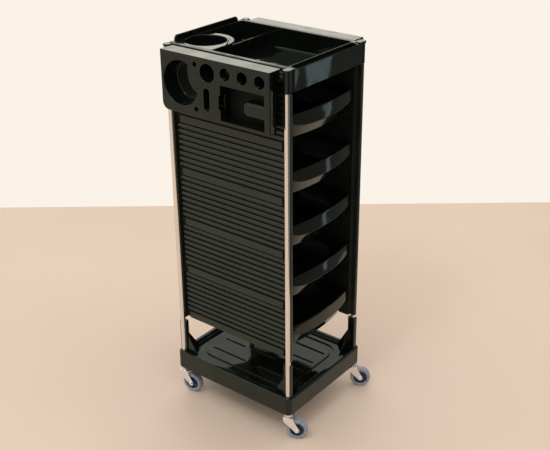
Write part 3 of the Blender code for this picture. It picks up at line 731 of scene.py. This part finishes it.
def top_tray():
    low, high = TRAY_LOW, TRAY_HIGH
    fixed(skin(inset_rings(low, high, TRAY_R, tray_profile())), "tray_moulding", "top_tray")
    fixed(cup_holder(), "tray_cup_holder")
    front, back, top = DIVIDER
    divider = box((CUP[0] + CUP_R / 2, front, low.z + TRAY_WALL - 0.0004), (high.x - TRIM, back, top))
    cut(divider, disc(CUP, CUP_R + 0.001, low.z, high.z))
    fixed(soften(divider, 0.0009), "tray_divider")


# ---------------------------------------------------------------- tool trays

def upright_slot(y, z, radius, half_height):
    """An upright outline with round ends."""
    return arc(y, z + half_height, radius, 0, 180, 20) + arc(y, z - half_height, radius, 180, 360, 20)


def tapered_well(y, z, radius, floor_radius, face, floor, wall=0.0):
    """A round well that narrows towards its floor, along X."""
    rings = []
    for x, r in ((face, radius + wall), (floor, floor_radius + wall)):
        rings.append([(x, u, v) for u, v in arc(y, z, r, 0, 360 - 360 / 96, 95)])
    return skin(rings)


def tool_tray_shell():
    """The open-backed shell with its hinge strip and the two lugs under the strip's ends."""
    low, high = TOOL_LOW, TOOL_HIGH
    wall = TOOL_WALL
    outline = rounded_rectangle((low.y, low.z), (high.y, high.z), [0.004, TOOL_CORNER_R, 0, 0], 12)
    inner = rounded_rectangle((low.y + wall, low.z + wall), (high.y - wall, high.z - wall),
                              [0.002, TOOL_CORNER_R - wall, 0, 0], 12)
    body = prism(outline, TOOL_FACE, TOOL_BACK, "X")
    cut(body, prism(inner, TOOL_FACE + wall, TOOL_BACK + OVER, "X"))
    joined(body, box((TOOL_BACK - 0.004, low.y, high.z - wall), (STRIP_BACK, high.y, high.z)))
    for y in (low.y, high.y - wall):
        lug_low = (TOOL_BACK - 0.004, y, high.z - TOOL_LUG_HEIGHT)
        joined(body, box(lug_low, (STRIP_BACK - 0.002, y + wall, high.z - 0.001)))
    return body


def tool_tray_body():
    """The left tool tray: outer face at -X, sleeves round its wells and holes reaching back."""
    body = tool_tray_shell()
    behind_face = TOOL_FACE + TOOL_WALL / 2
    sleeve = TOOL_SLEEVE
    y, z, radius = TOOL_CUP
    joined(body, tapered_well(y, z, radius, TOOL_CUP_FLOOR_R, behind_face, TOOL_HIGH.x, sleeve))
    joined(body, box((behind_face, POCKET_LOW[0] - sleeve, POCKET_LOW[1] - sleeve),
                     (POCKET_BACK + sleeve, POCKET_HIGH[0] + sleeve, POCKET_HIGH[1] + sleeve)))
    for y, z, radius in TOOL_PIN_HOLES:
        joined(body, disc((y, z), radius + sleeve, behind_face, TOOL_FACE + 0.016, "X", 40))
    y, z, radius, half = TOOL_SLOT
    joined(body, prism(upright_slot(y, z, radius + sleeve, half), behind_face, TOOL_FACE + 0.020, "X"))
    for y, z, radius in TOOL_HOLES:
        joined(body, disc((y, z), radius + sleeve, behind_face, TOOL_BACK - 0.002, "X", 64))
    return body


def tool_tray_cuts():
    """The cutters, from in front of the face: cup, pocket, notch, holes and slot."""
    front = TOOL_FACE - OVER
    cup_floor = TOOL_HIGH.x - TOOL_WALL
    y, z, radius = TOOL_CUP
    slope = (radius - TOOL_CUP_FLOOR_R) / (cup_floor - TOOL_FACE)
    cuts = [tapered_well(y, z, radius + slope * OVER, TOOL_CUP_FLOOR_R, front, cup_floor)]
    cuts.append(prism(rounded_rectangle(POCKET_LOW, POCKET_HIGH, 0.0015, 4), front, POCKET_BACK, "X"))
    edge = POCKET_HIGH[0]
    notch = rounded_rectangle((edge - 0.004, POCKET_NOTCH[0]), (edge + 0.0045, POCKET_NOTCH[1]), 0.002, 4)
    cuts.append(prism(notch, front, TOOL_FACE + 0.014, "X"))
    for y, z, radius in TOOL_HOLES:
        cuts.append(disc((y, z), radius, front, TOOL_BACK + OVER, "X", 64))
    for y, z, radius in TOOL_PIN_HOLES:
        cuts.append(disc((y, z), radius, front, TOOL_FACE + 0.014, "X", 40))
    cuts.append(prism(upright_slot(*TOOL_SLOT), front, TOOL_FACE + 0.018, "X"))
    return cuts


def cup_bump():
    """The part of the face that bulges into the cup's opening, with a gentle round edge."""
    y, z, radius = TOOL_CUP
    bump = disc(TOOL_BUMP[:2], TOOL_BUMP[2], TOOL_FACE, TOOL_FACE + 0.0040, "X")
    near = disc((y, z), radius + 0.0012, TOOL_FACE - OVER, TOOL_FACE + OVER, "X")
    return boolean(bump, near, "INTERSECT")


def tool_tray_parts():
    """The moulding, the raised pad in its pocket and a near-black sheet at the pocket's back, painted shade
    for the pocket's depth.
    """
    moulding = tool_tray_body()
    for cutter in tool_tray_cuts():
        cut(moulding, cutter)
    joined(moulding, cup_bump())
    pad_outline = rounded_rectangle(PAD_LOW, PAD_HIGH, [0, PAD_END_R, PAD_END_R, 0], 12)
    pad = prism(pad_outline, PAD_FACE, POCKET_BACK + 0.001, "X")
    inset = [edge + 0.0004 for edge in POCKET_LOW], [edge - 0.0004 for edge in POCKET_HIGH]
    # Painted shade: this dull near-black sheet at the pocket's back makes the pocket read as deep and shaded.
    shade_lining = prism(rounded_rectangle(*inset, 0.0013, 4), POCKET_BACK - 0.0010, POCKET_BACK + 0.0006, "X")
    parts = {"moulding": soften(moulding, 0.0009), "pad": soften(pad, 0.0070, 6),
             "shade_lining": soften(shade_lining, 0.0002, 2)}
    for part in parts.values():
        part.data.transform(Matrix.Translation((0, TOOL_SHIFT, 0)))
    return parts


def turned_copy(obj):
    """A copy turned half round about Z, for the other side, with the same play along the hinge."""
    copy = bpy.data.objects.new("piece", obj.data.copy())
    SCRATCH.objects.link(copy)
    copy.data.transform(Matrix.Translation((0, 2 * TOOL_SHIFT, 0)) @ Matrix.Rotation(math.pi, 4, "Z"))
    for source in obj.modifiers:
        target = copy.modifiers.new(source.name, source.type)
        for key in ("width", "segments", "limit_method", "angle_limit", "use_clamp_overlap", "miter_outer"):
            setattr(target, key, getattr(source, key))
    return copy


def tool_trays():
    for kind, left in tool_tray_parts().items():
        for side, obj in (("right", turned_copy(left)), ("left", left)):
            nodes = [f"tool_tray_{side}"] if kind == "moulding" else []
            # The pocket's sheet takes the near-black of the painted shade.
            finish = POCKET_SHADE if kind == "shade_lining" else BLACK
            piece(obj, f"tool_{kind}_{side}", finish, f"tool_tray_{side}", *nodes)
    for name in CORNERS:
        low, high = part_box(f"hinge_pin_{name}")
        side = name.split("_")[1]
        radius = (high.x - low.x) / 2
        edge = 0.0004
        pin = lathe([(0, low.y), (radius - edge, low.y), (radius, low.y + edge), (radius, high.y - edge),
                     (radius - edge, high.y), (0, high.y)], 40)
        pin.data.transform(Matrix.Rotation(-math.pi / 2, 4, "X"))
        pin.location = ((low.x + high.x) / 2, 0.0, (low.z + high.z) / 2)
        piece(pin, f"hinge_pip_{name}", BLACK, f"tool_tray_{side}", f"hinge_pin_{name}")


# ---------------------------------------------------------------- side panels

def panel_section(band_face, rib_share):
    """Cross-section of the ribbed plate as (x, z); rib_share flattens the ribs towards the plate."""
    low, high = PANEL_LOW.z, PANEL_HIGH.z
    rib_height = (RIB_CREST - RIB_VALLEY) * rib_share
    group_height = RIB_COUNT * RIB_PITCH
    corners = [(PANEL_INNER, low, 0), (RIB_VALLEY, low, 0.0006)]

    def band(start, end, step):
        """A flat band that stands off the plate."""
        foot, face = BAND_STEP
        corners.extend([(RIB_VALLEY, start + foot, 0.0002), (band_face, start + face, 0.0002),
                        (band_face, end - step[0], 0.0002), (RIB_VALLEY, end - step[1], 0.0002)])

    edge = low
    for rim in reversed(DRAWER_RIMS):
        start = rim - RIB_SET_BELOW_RIM - group_height / 2
        band(edge, start, (0.0012, 0.0006))
        for step in range(RIB_COUNT):
            foot = start + step * RIB_PITCH
            for rise, share, radius in RIB_SHAPE:
                corners.append((RIB_VALLEY + rib_height * share, foot + rise, radius * max(rib_share, 0.02)))
        edge = start + group_height
    band(edge, high, (0.0018, 0.0012))
    corners += [(RIB_VALLEY, high, 0.0006), (PANEL_INNER, high, 0)]
    return fillet([corner[:2] for corner in corners], [corner[2] for corner in corners], steps=3)


def panel_plate(sign):
    stations = [(RIB_HALF, PANEL_FLOOR, 0.0), (RIB_HALF - 0.0002, PANEL_FLOOR, 0.55),
                (RIB_HALF - 0.0008, PANEL_FLOOR, 0.9), (RIB_HALF - 0.0018, PANEL_FLOOR, 1.0),
                (BAND_HALF + 0.0003, PANEL_FLOOR, 1.0), (BAND_HALF, BAND_FACE - 0.0004, 1.0),
                (BAND_HALF - 0.0005, BAND_FACE, 1.0)]
    rings = []
    for y, band, ribs in stations + [(-y, band, ribs) for y, band, ribs in reversed(stations)]:
        rings.append([(sign * x, y, z) for x, z in panel_section(band, ribs)])
    return skin(rings)


def panel_wrap(sign, sign_y):
    """The upright edge of a panel, wrapped round the inner half of a post."""
    bore = POST_R + FIT
    web = WRAP_BACK + WEB_THICK
    outline = [(PANEL_INNER, WEB_BACK), (RIB_VALLEY - 0.0004, WEB_BACK), (RIB_VALLEY - 0.0004, WRAP_BACK),
               (POST_X - 0.0006, WRAP_BACK), (POST_X, WRAP_BACK + 0.0006)]
    outline += arc(POST_X, POST_Y, bore, 270, 90, 28)
    outline += [(POST_X, WRAP_FRONT - 0.0004), (POST_X - 0.0008, WRAP_FRONT)]
    outline += [(WRAP_INNER + 0.0022, WRAP_FRONT), (WRAP_INNER + 0.0006, WRAP_FRONT - 0.0006),
                (WRAP_INNER, WRAP_FRONT - 0.0022), (WRAP_INNER, web), (PANEL_INNER, web)]
    return soften(prism(mirrored(outline, sign, sign_y), PANEL_LOW.z, PANEL_HIGH.z), 0.0004, 2, 50)


def ledge(level, sign):
    """A runner ledge with a rounded inner edge; level is its top."""
    inner, outer = LEDGE_REACH, PANEL_INNER + 0.0008
    low = level - LEDGE_THICK
    outline = fillet([(inner, low), (outer, low), (outer, level), (inner, level)], [0.0009, 0, 0, 0.0009])
    return prism(mirrored(outline, sign, 1), -LEDGE_HALF, LEDGE_HALF, "Y")


def side_panels():
    for side, sign in SIDES.items():
        fixed(panel_plate(sign), f"panel_ribs_{side}", f"side_panel_{side}", finish=SATIN)
        for end, sign_y in (("front", -1), ("back", 1)):
            fixed(panel_wrap(sign, sign_y), f"panel_edge_{end}_{side}", finish=SATIN)
        lowest = [rim - RAIL_HEIGHT - PLAY for rim in DRAWER_RIMS]
        ledges = [ledge(level + lift, sign) for level in lowest for lift in (0.0, LEDGE_SPACING)]
        fixed(gathered(ledges), f"drawer_ledges_{side}", finish=SATIN)


# ---------------------------------------------------------------- drawers

def bend(start, control, end, steps):
    """Points along a quadratic curve, without its first point."""
    points = []
    for step in range(1, steps + 1):
        share = step / steps
        points.append(tuple((1 - share) ** 2 * Vector(start) + 2 * share * (1 - share) * Vector(control)
                            + share ** 2 * Vector(end)))
    return points


def drawer_ring(side_inset, end_inset, height, steps=40):
    """Straight sides, bowed ends and rounded corners; height depends on how far out x is."""
    half, end, corner = DRAWER_SIDE - side_inset, DRAWER_END - end_inset, DRAWER_CORNER
    points = []
    for sign in (-1, 1):
        bow = []
        for step in range(steps + 1):
            x = -sign * (2 * step / steps - 1) * (half - corner)
            bow.append((x, sign * (end + DRAWER_BOW * (1 - (x / half) ** 2))))
        turn, other = -sign * half, sign * end
        after = bend(bow[-1], (turn, other), (turn, other - sign * corner), 6)
        next_x = turn - math.copysign(corner, turn)
        next_start = (next_x, -sign * (end + DRAWER_BOW * (1 - (next_x / half) ** 2)))
        before = [(turn, -other + sign * corner)]
        before += bend(before[0], (turn, -other), next_start, 6)[:-1]
        points += bow + after + before
    start, full, flare = DRAWER_FLARE
    ring = []
    for x, y in points:
        share = min(1.0, abs(x) / half)
        spread = min(1.0, max(0.0, (abs(y) - start) / (full - start)))
        widened = x * (1 + flare / DRAWER_SIDE * spread * spread * (3 - 2 * spread))
        ring.append((widened, y, height(share)))
    return ring


def drawer_tub(rim):
    """A thin-walled tub: a bowed front band over a crescent crease, then a hull leaning inwards."""
    floor = rim - DRAWER_DEPTH
    wall = DRAWER_WALL

    def crease(drop):
        return lambda share: rim - CREASE_DROP - drop - CREASE_BOW * max(0.0, 1 - share ** 4) ** 0.7

    def level(z):
        return lambda share: z

    rings = [drawer_ring(*ring) for ring in (
        (0.0125, 0.0165, level(floor)),
        (0.0100, 0.0135, level(floor + 0.0006)),
        (0.0088, 0.0120, level(floor + 0.0022)),
        (0.0030, 0.0030, crease(0.0018)),
        (0.0016, 0.0008, crease(0.0004)),
        (0.0010, 0.0002, crease(-0.0012)),
        (0.0003, 0.0024, level(rim - 0.0030)),
        (0.0000, 0.0026, level(rim - 0.0011)),
        (0.0003, 0.0030, level(rim - 0.0004)),
        (0.0010, 0.0037, level(rim)),
        (wall - 0.0008, wall + 0.0018, level(rim)),
        (wall - 0.0002, wall + 0.0024, level(rim - 0.0004)),
        (wall, wall + 0.0026, level(rim - 0.0012)),
        (wall + 0.0010, wall + 0.0006, crease(-0.0012)),
        (wall + 0.0016, wall + 0.0012, crease(0.0004)),
        (wall + 0.0030, wall + 0.0036, crease(0.0016)),
        (wall + 0.0082, wall + 0.0110, level(floor + wall + 0.0024)),
        (wall + 0.0096, wall + 0.0126, level(floor + wall + 0.0006)),
        (wall + 0.0125, wall + 0.0155, level(floor + wall)),
    )]
    return skin(rings)


def drawer_rail(rim, sign):
    """The channel that rides on the ledge."""
    wall = DRAWER_WALL
    inner, outer = DRAWER_SIDE - wall, RAIL_OUTER
    top, under, foot = rim - 0.0001, rim - wall - 0.001, rim - RAIL_HEIGHT
    outline = [(inner, top), (outer, top), (outer, foot), (outer - wall, foot), (outer - wall, under),
               (inner, under)]
    end = DRAWER_FLARE[0] + 0.006
    return soften(prism(mirrored(outline, sign, 1), -end, end, "Y"), 0.0006)


def drawers():
    for name, rim in zip(DRAWER_NAMES, DRAWER_RIMS):
        piece(drawer_tub(rim), f"{name}_tub", BLACK, name, name)
        for side, sign in SIDES.items():
            piece(drawer_rail(rim, sign), f"{name}_rail_{side}", BLACK, name)


# ---------------------------------------------------------------- base

def base_body():
    """The base's shell: from under the deck, down the skirt and up, over the rim and on to the deck."""
    low, wall = BASE_LOW.z, BASE_WALL
    profile = [(0.0075, 0.1003), (wall + 0.0012, 0.1000), (wall + 0.0002, 0.0990), (wall, 0.0970)]
    profile += [(wall, low + 0.0008), (wall - 0.0008, low), (0.0008, low), (0.0002, low + 0.0003),
                (0.0, low + 0.0012), (0.0, BASE_TOP - 0.0060)]
    profile += arc(RIM_R, BASE_TOP - RIM_R, RIM_R, 165, 90, 5)
    profile += [(0.0105, BASE_TOP), (0.0114, BASE_TOP - 0.0003), (0.0119, BASE_TOP - 0.0010)]
    profile += [(0.0124, DECK_TOP + 0.0026), (0.0130, DECK_TOP + 0.0010), (0.0142, DECK_TOP + 0.0002),
                (0.0160, DECK_TOP)]
    return skin(inset_rings((-BASE_X, -BASE_Y), (BASE_X, BASE_Y), BASE_R, profile, 10))


def deck_slots():
    """Drain slots: two long ones in the outer rows and three short ones in the inner rows."""
    slots = []
    for row, spans in SLOT_ROWS:
        for x in (-row, row):
            for start, end in spans:
                outline = rounded_rectangle((x - SLOT_HALF, start), (x + SLOT_HALF, end), SLOT_HALF * 0.98, 8)
                slots.append(prism(outline, DECK_TOP - SLOT_DEPTH, DECK_TOP + 0.003))
    return slots


def deck_border():
    """The sunk channel round the deck, wider at the back."""
    outer = prism(rounded_rectangle(*BORDER_OUTER, 16), DECK_TOP - BORDER_DEPTH, DECK_TOP + 0.003)
    inner = prism(rounded_rectangle(*BORDER_INNER, 16), DECK_TOP - OVER, DECK_TOP + OVER)
    return cut(outer, inner)


def fin(reach, sides, along, sign_x, sign_y):
    """A triangular fin from a gusset's column down to the deck; along is 0 for X and 1 for Y."""
    tip, root = reach
    foot = DECK_TOP - 0.0005
    profile = [(tip, foot), (tip, DECK_TOP + 0.001), (root, GUSSET_FLARE_TOP), (root, foot)]
    points = []
    for out, z in profile:
        for side in sides:
            x, y = (out, side) if along == 0 else (side, out)
            points.append((sign_x * x, sign_y * y, z))
    return hull(points)


def gusset(sign_x, sign_y):
    """The corner column round the tube's inner side, with two triangular fins down to the deck."""
    (x0, x1), (y0, y1) = COLUMN
    outline = rounded_rectangle((x0, y0), (x1, y1), [0.0012, 0, 0, 0.0022], 4)
    body = prism(mirrored(outline, sign_x, sign_y), DECK_TOP - 0.001, GUSSET_TOP)
    joined(body, fin(*SIDE_FIN, 0, sign_x, sign_y), fin(*END_FIN, 1, sign_x, sign_y))
    cut(body, disc((sign_x * POST_X, sign_y * POST_Y), POST_R + FIT, 0.05, GUSSET_TOP + OVER, segments=72))
    return soften(body, 0.0005)


def corner_boss():
    """The round corner of the base under each tube, with fine upright ribs."""
    radius = BASE_R + 0.0002
    outline = []
    for step in range(144):
        angle = math.tau * step / 144
        reach = radius + 0.0002 * math.cos(24 * angle)
        outline.append((reach * math.cos(angle), reach * math.sin(angle)))
    return prism(outline, BASE_LOW.z + 0.0006, BASE_TOP - 0.0015)


def base():
    body = base_body()
    for cutter in deck_slots() + [deck_border()]:
        cut(body, cutter)
    fixed(soften(body, 0.0005, 2, 50), "base_moulding", "base_tray")
    for name, (sign_x, sign_y) in CORNERS.items():
        fixed(gusset(sign_x, sign_y), f"base_gusset_{name}")
        boss = soften(corner_boss(), 0.0008, 3, 60)
        boss.location = (sign_x * POST_X, sign_y * POST_Y, 0.0)
        fixed(boss, f"base_boss_{name}")


# ---------------------------------------------------------------- casters

def caster_place(name):
    """The caster's own frame: its origin under the swivel, its wheel trailing along +X."""
    swivel = Vector(JOINTS[f"caster_{name}_swivel"]["pos_m"])
    axle = Vector(JOINTS[f"wheel_{name}_spin"]["pos_m"])
    angle = math.atan2(axle.y - swivel.y, axle.x - swivel.x)
    return Matrix.Translation((swivel.x, swivel.y, 0.0)) @ Matrix.Rotation(angle, 4, "Z")


def fork():
    """A pressed fork: a domed crown with two tapering legs."""
    outer = FORK_INNER + FORK_THICK
    crown_low = FORK_TOP - 0.0032
    crown = disc((0, 0), HEAD_R + 0.001, crown_low, FORK_TOP, segments=64)
    bridge = rounded_rectangle((-0.0108, -outer), (0.0128, outer), 0.0030, 6)
    joined(crown, prism(bridge, crown_low + 0.0001, FORK_TOP - 0.0003))
    foot = arc(TRAIL, WHEEL_R, FOOT_R, -150, 30, 20)
    leg = [(-0.0110, FORK_TOP - 0.001), (-0.0112, FORK_TOP - 0.008), *foot, (0.0142, FORK_TOP - 0.008),
           (0.0135, FORK_TOP - 0.001)]
    for low, high in ((-outer, -FORK_INNER), (FORK_INNER, outer)):
        joined(crown, prism(leg, low, high, "Y"))
    cut(crown, disc((TRAIL, WHEEL_R), AXLE_R + PLAY, -0.03, 0.03, "Y", 40))
    return soften(crown, 0.0006)


def stem():
    """The bearing head between fork and base, and its stem."""
    low, high = FORK_TOP + PLAY, BASE_LOW.z - PLAY
    neck = HEAD_R - 0.0012
    return lathe([(0, low), (HEAD_R - 0.0006, low), (HEAD_R, low + 0.0006), (HEAD_R, low + 0.0030),
                  (neck, low + 0.0036), (neck, high - 0.0010), (neck - 0.0004, high), (STEM_R, high),
                  (STEM_R, STEM_TOP - 0.0005), (STEM_R - 0.0004, STEM_TOP), (0, STEM_TOP)])


def on_axle(obj):
    obj.data.transform(Matrix.Translation((TRAIL, 0, WHEEL_R)) @ Matrix.Rotation(math.pi / 2, 4, "X"))
    return obj


def axle():
    reach = FORK_INNER + FORK_THICK
    shaft = disc((0, 0), AXLE_R, -reach - 0.001, reach + 0.001, segments=40)
    for low, high in ((-reach - 0.0030, -reach - 0.0002), (reach + 0.0002, reach + 0.0030)):
        joined(shaft, disc((0, 0), 0.0047, low, high, segments=6))
    return on_axle(soften(shaft, 0.0004))


def hub():
    bore, web, rim = AXLE_R + PLAY, HUB_HALF - 0.0022, HUB_R - 0.0022
    edge = 0.0004
    half = [(bore, HUB_HALF - edge), (bore + edge, HUB_HALF), (0.0056, HUB_HALF), (0.0060, HUB_HALF - edge),
            (0.0064, web + edge), (0.0068, web), (rim - edge, web), (rim, web + edge), (rim, HUB_HALF - edge),
            (rim + edge, HUB_HALF), (HUB_R - edge, HUB_HALF), (HUB_R, HUB_HALF - edge)]
    body = lathe(both_sides(half), 72, closed=True)
    centres = arc(0, 0, 0.0105, 0, 360 - 360 / HUB_HOLES, HUB_HOLES - 1)
    cut(body, *[disc(centre, HUB_HOLE_R, -0.02, 0.02, segments=28) for centre in centres])
    return on_axle(body)


def tyre():
    inner = HUB_R + FIT
    half = [(inner, 0.0074), (inner + 0.0005, 0.0080), (0.0212, 0.0089), (0.0222, 0.0088), (0.0232, 0.0082),
            (0.0240, 0.0071), (0.0246, 0.0055), (0.0249, 0.0036), (WHEEL_R, 0.0015)]
    return on_axle(lathe(both_sides(half), 96, closed=True))


def casters():
    kinds = (("fork", fork, ZINC, "caster"), ("stem", stem, ZINC, None), ("axle", axle, ZINC, "caster"),
             ("hub", hub, NAVY, "wheel"), ("tyre", tyre, TYRE, "wheel"))
    for name in CORNERS:
        place = caster_place(name)
        for kind, make, finish, family in kinds:
            obj = make()
            obj.data.transform(place)
            body = f"{family}_{name}" if family else "trolley"
            piece(obj, f"wheel_set_{kind}_{name}", finish, body, f"caster_{kind}_{name}")


# ---------------------------------------------------------------- stage

def towards(azimuth, elevation):
    """The unit vector at these angles in degrees; azimuth 0 is -Y and 90 is +X."""
    a, e = math.radians(azimuth), math.radians(elevation)
    return Vector((math.sin(a) * math.cos(e), -math.cos(a) * math.cos(e), math.sin(e)))


def camera():
    back = towards(VIEW_AZIMUTH, VIEW_ELEVATION)
    roll = math.radians(VIEW_ROLL)
    right = (-back).cross(Vector((0, 0, 1))).normalized()
    up = right.cross(-back)
    rolled_right = right * math.cos(roll) + up * math.sin(roll)
    rolled_up = up * math.cos(roll) - right * math.sin(roll)
    data = bpy.data.cameras.new("camera")
    data.lens = LENS
    data.sensor_width = 36.0
    cam = bpy.data.objects.new("camera", data)
    place = Matrix((rolled_right, rolled_up, back)).transposed().to_4x4()
    place.translation = VIEW_TARGET + back * VIEW_DISTANCE
    cam.matrix_world = place
    SCENE.collection.objects.link(cam)
    SCENE.camera = cam
    return back


def softbox(name, aim, azimuth, elevation, distance, size, radiance, colour):
    """A rectangular light facing the aim point; its brightness is set per unit of its area."""
    away = towards(azimuth, elevation)
    data = bpy.data.lights.new(name, "AREA")
    data.shape = "RECTANGLE"
    data.size, data.size_y = size
    data.color = colour
    data.energy = radiance * math.pi * size[0] * size[1]
    lamp = bpy.data.objects.new(name, data)
    lamp.location = aim + away * distance
    lamp.rotation_euler = away.to_track_quat("Z", "Y").to_euler()
    lamp.visible_camera = False
    SCENE.collection.objects.link(lamp)


def floor(back):
    """A plain pale rectangle turned to the camera, ending some way behind the trolley."""
    flat = Vector((back.x, back.y, 0)).normalized()
    side = Vector((-flat.y, flat.x, 0))
    data = bmesh.new()
    data.faces.new([data.verts.new(flat * near + side * right) for near, right in FLOOR_EDGE])
    ground = object_from(data)
    ground.name = "floor"
    ground.data.materials.append(floor_beige())
    SCRATCH.objects.unlink(ground)
    SCENE.collection.objects.link(ground)


def world():
    """A pale room: an even backdrop, one dark side for reflections and light mostly from above."""
    light = bpy.data.worlds.new("studio")
    SCENE.world = light
    light.use_nodes = True
    sky = Tree(light.node_tree)
    shade = sky.tree.nodes["Background"]
    shade.inputs["Color"].default_value = (0.965, 0.893, 0.805, 1.0)
    direction = sky.add("ShaderNodeTexCoord").outputs["Generated"]
    along = sky.add("ShaderNodeVectorMath")
    along.operation = "DOT_PRODUCT"
    along.inputs[1].default_value = DARK_SIDE
    sky.link(direction, along.inputs[0])
    height = sky.add("ShaderNodeSeparateXYZ")
    sky.link(direction, height.inputs[0])
    path = sky.add("ShaderNodeLightPath").outputs
    mirror_light = sky.ranged(along.outputs["Value"], 1.0, 0.17, 0.15, 0.50)
    soft_light = sky.ranged(height.outputs["Z"], 0.30, 1.35, -0.1, 0.9)
    by_ray = sky.add("ShaderNodeMix")
    sky.link(path["Is Diffuse Ray"], by_ray.inputs["Factor"])
    sky.link(mirror_light, by_ray.inputs["A"])
    sky.link(soft_light, by_ray.inputs["B"])
    seen = sky.add("ShaderNodeMix", B=1.0)
    sky.link(path["Is Camera Ray"], seen.inputs["Factor"])
    sky.link(by_ray.outputs["Result"], seen.inputs["A"])
    sky.link(seen.outputs["Result"], shade.inputs["Strength"])


def stage():
    """Camera, floor, room and soft lights: one behind, one over the left side and a thin one in front."""
    back = camera()
    floor(back)
    world()
    top = Vector((0, 0, FRAME_TOP))
    softbox("box_behind", top, 128.0, 17.0, 6.0, (5.0, 1.1), 1.0, (1.0, 0.98, 0.82))
    softbox("box_key", top, -85.0, 50.0, 2.6, (0.55, 0.80), 12.0, (0.90, 0.97, 1.0))
    front = Vector((0, -POST_Y, 0.41))
    softbox("box_front", front, 51.7, 0.0, 0.80, (0.06, 0.76), 1.0, (0.74, 0.90, 1.0))
    SCENE.view_settings.view_transform = "Standard"


posts()
top_frame()
top_tray()
tool_trays()
side_panels()
drawers()
base()
casters()
stage()
bpy.data.collections.remove(SCRATCH)
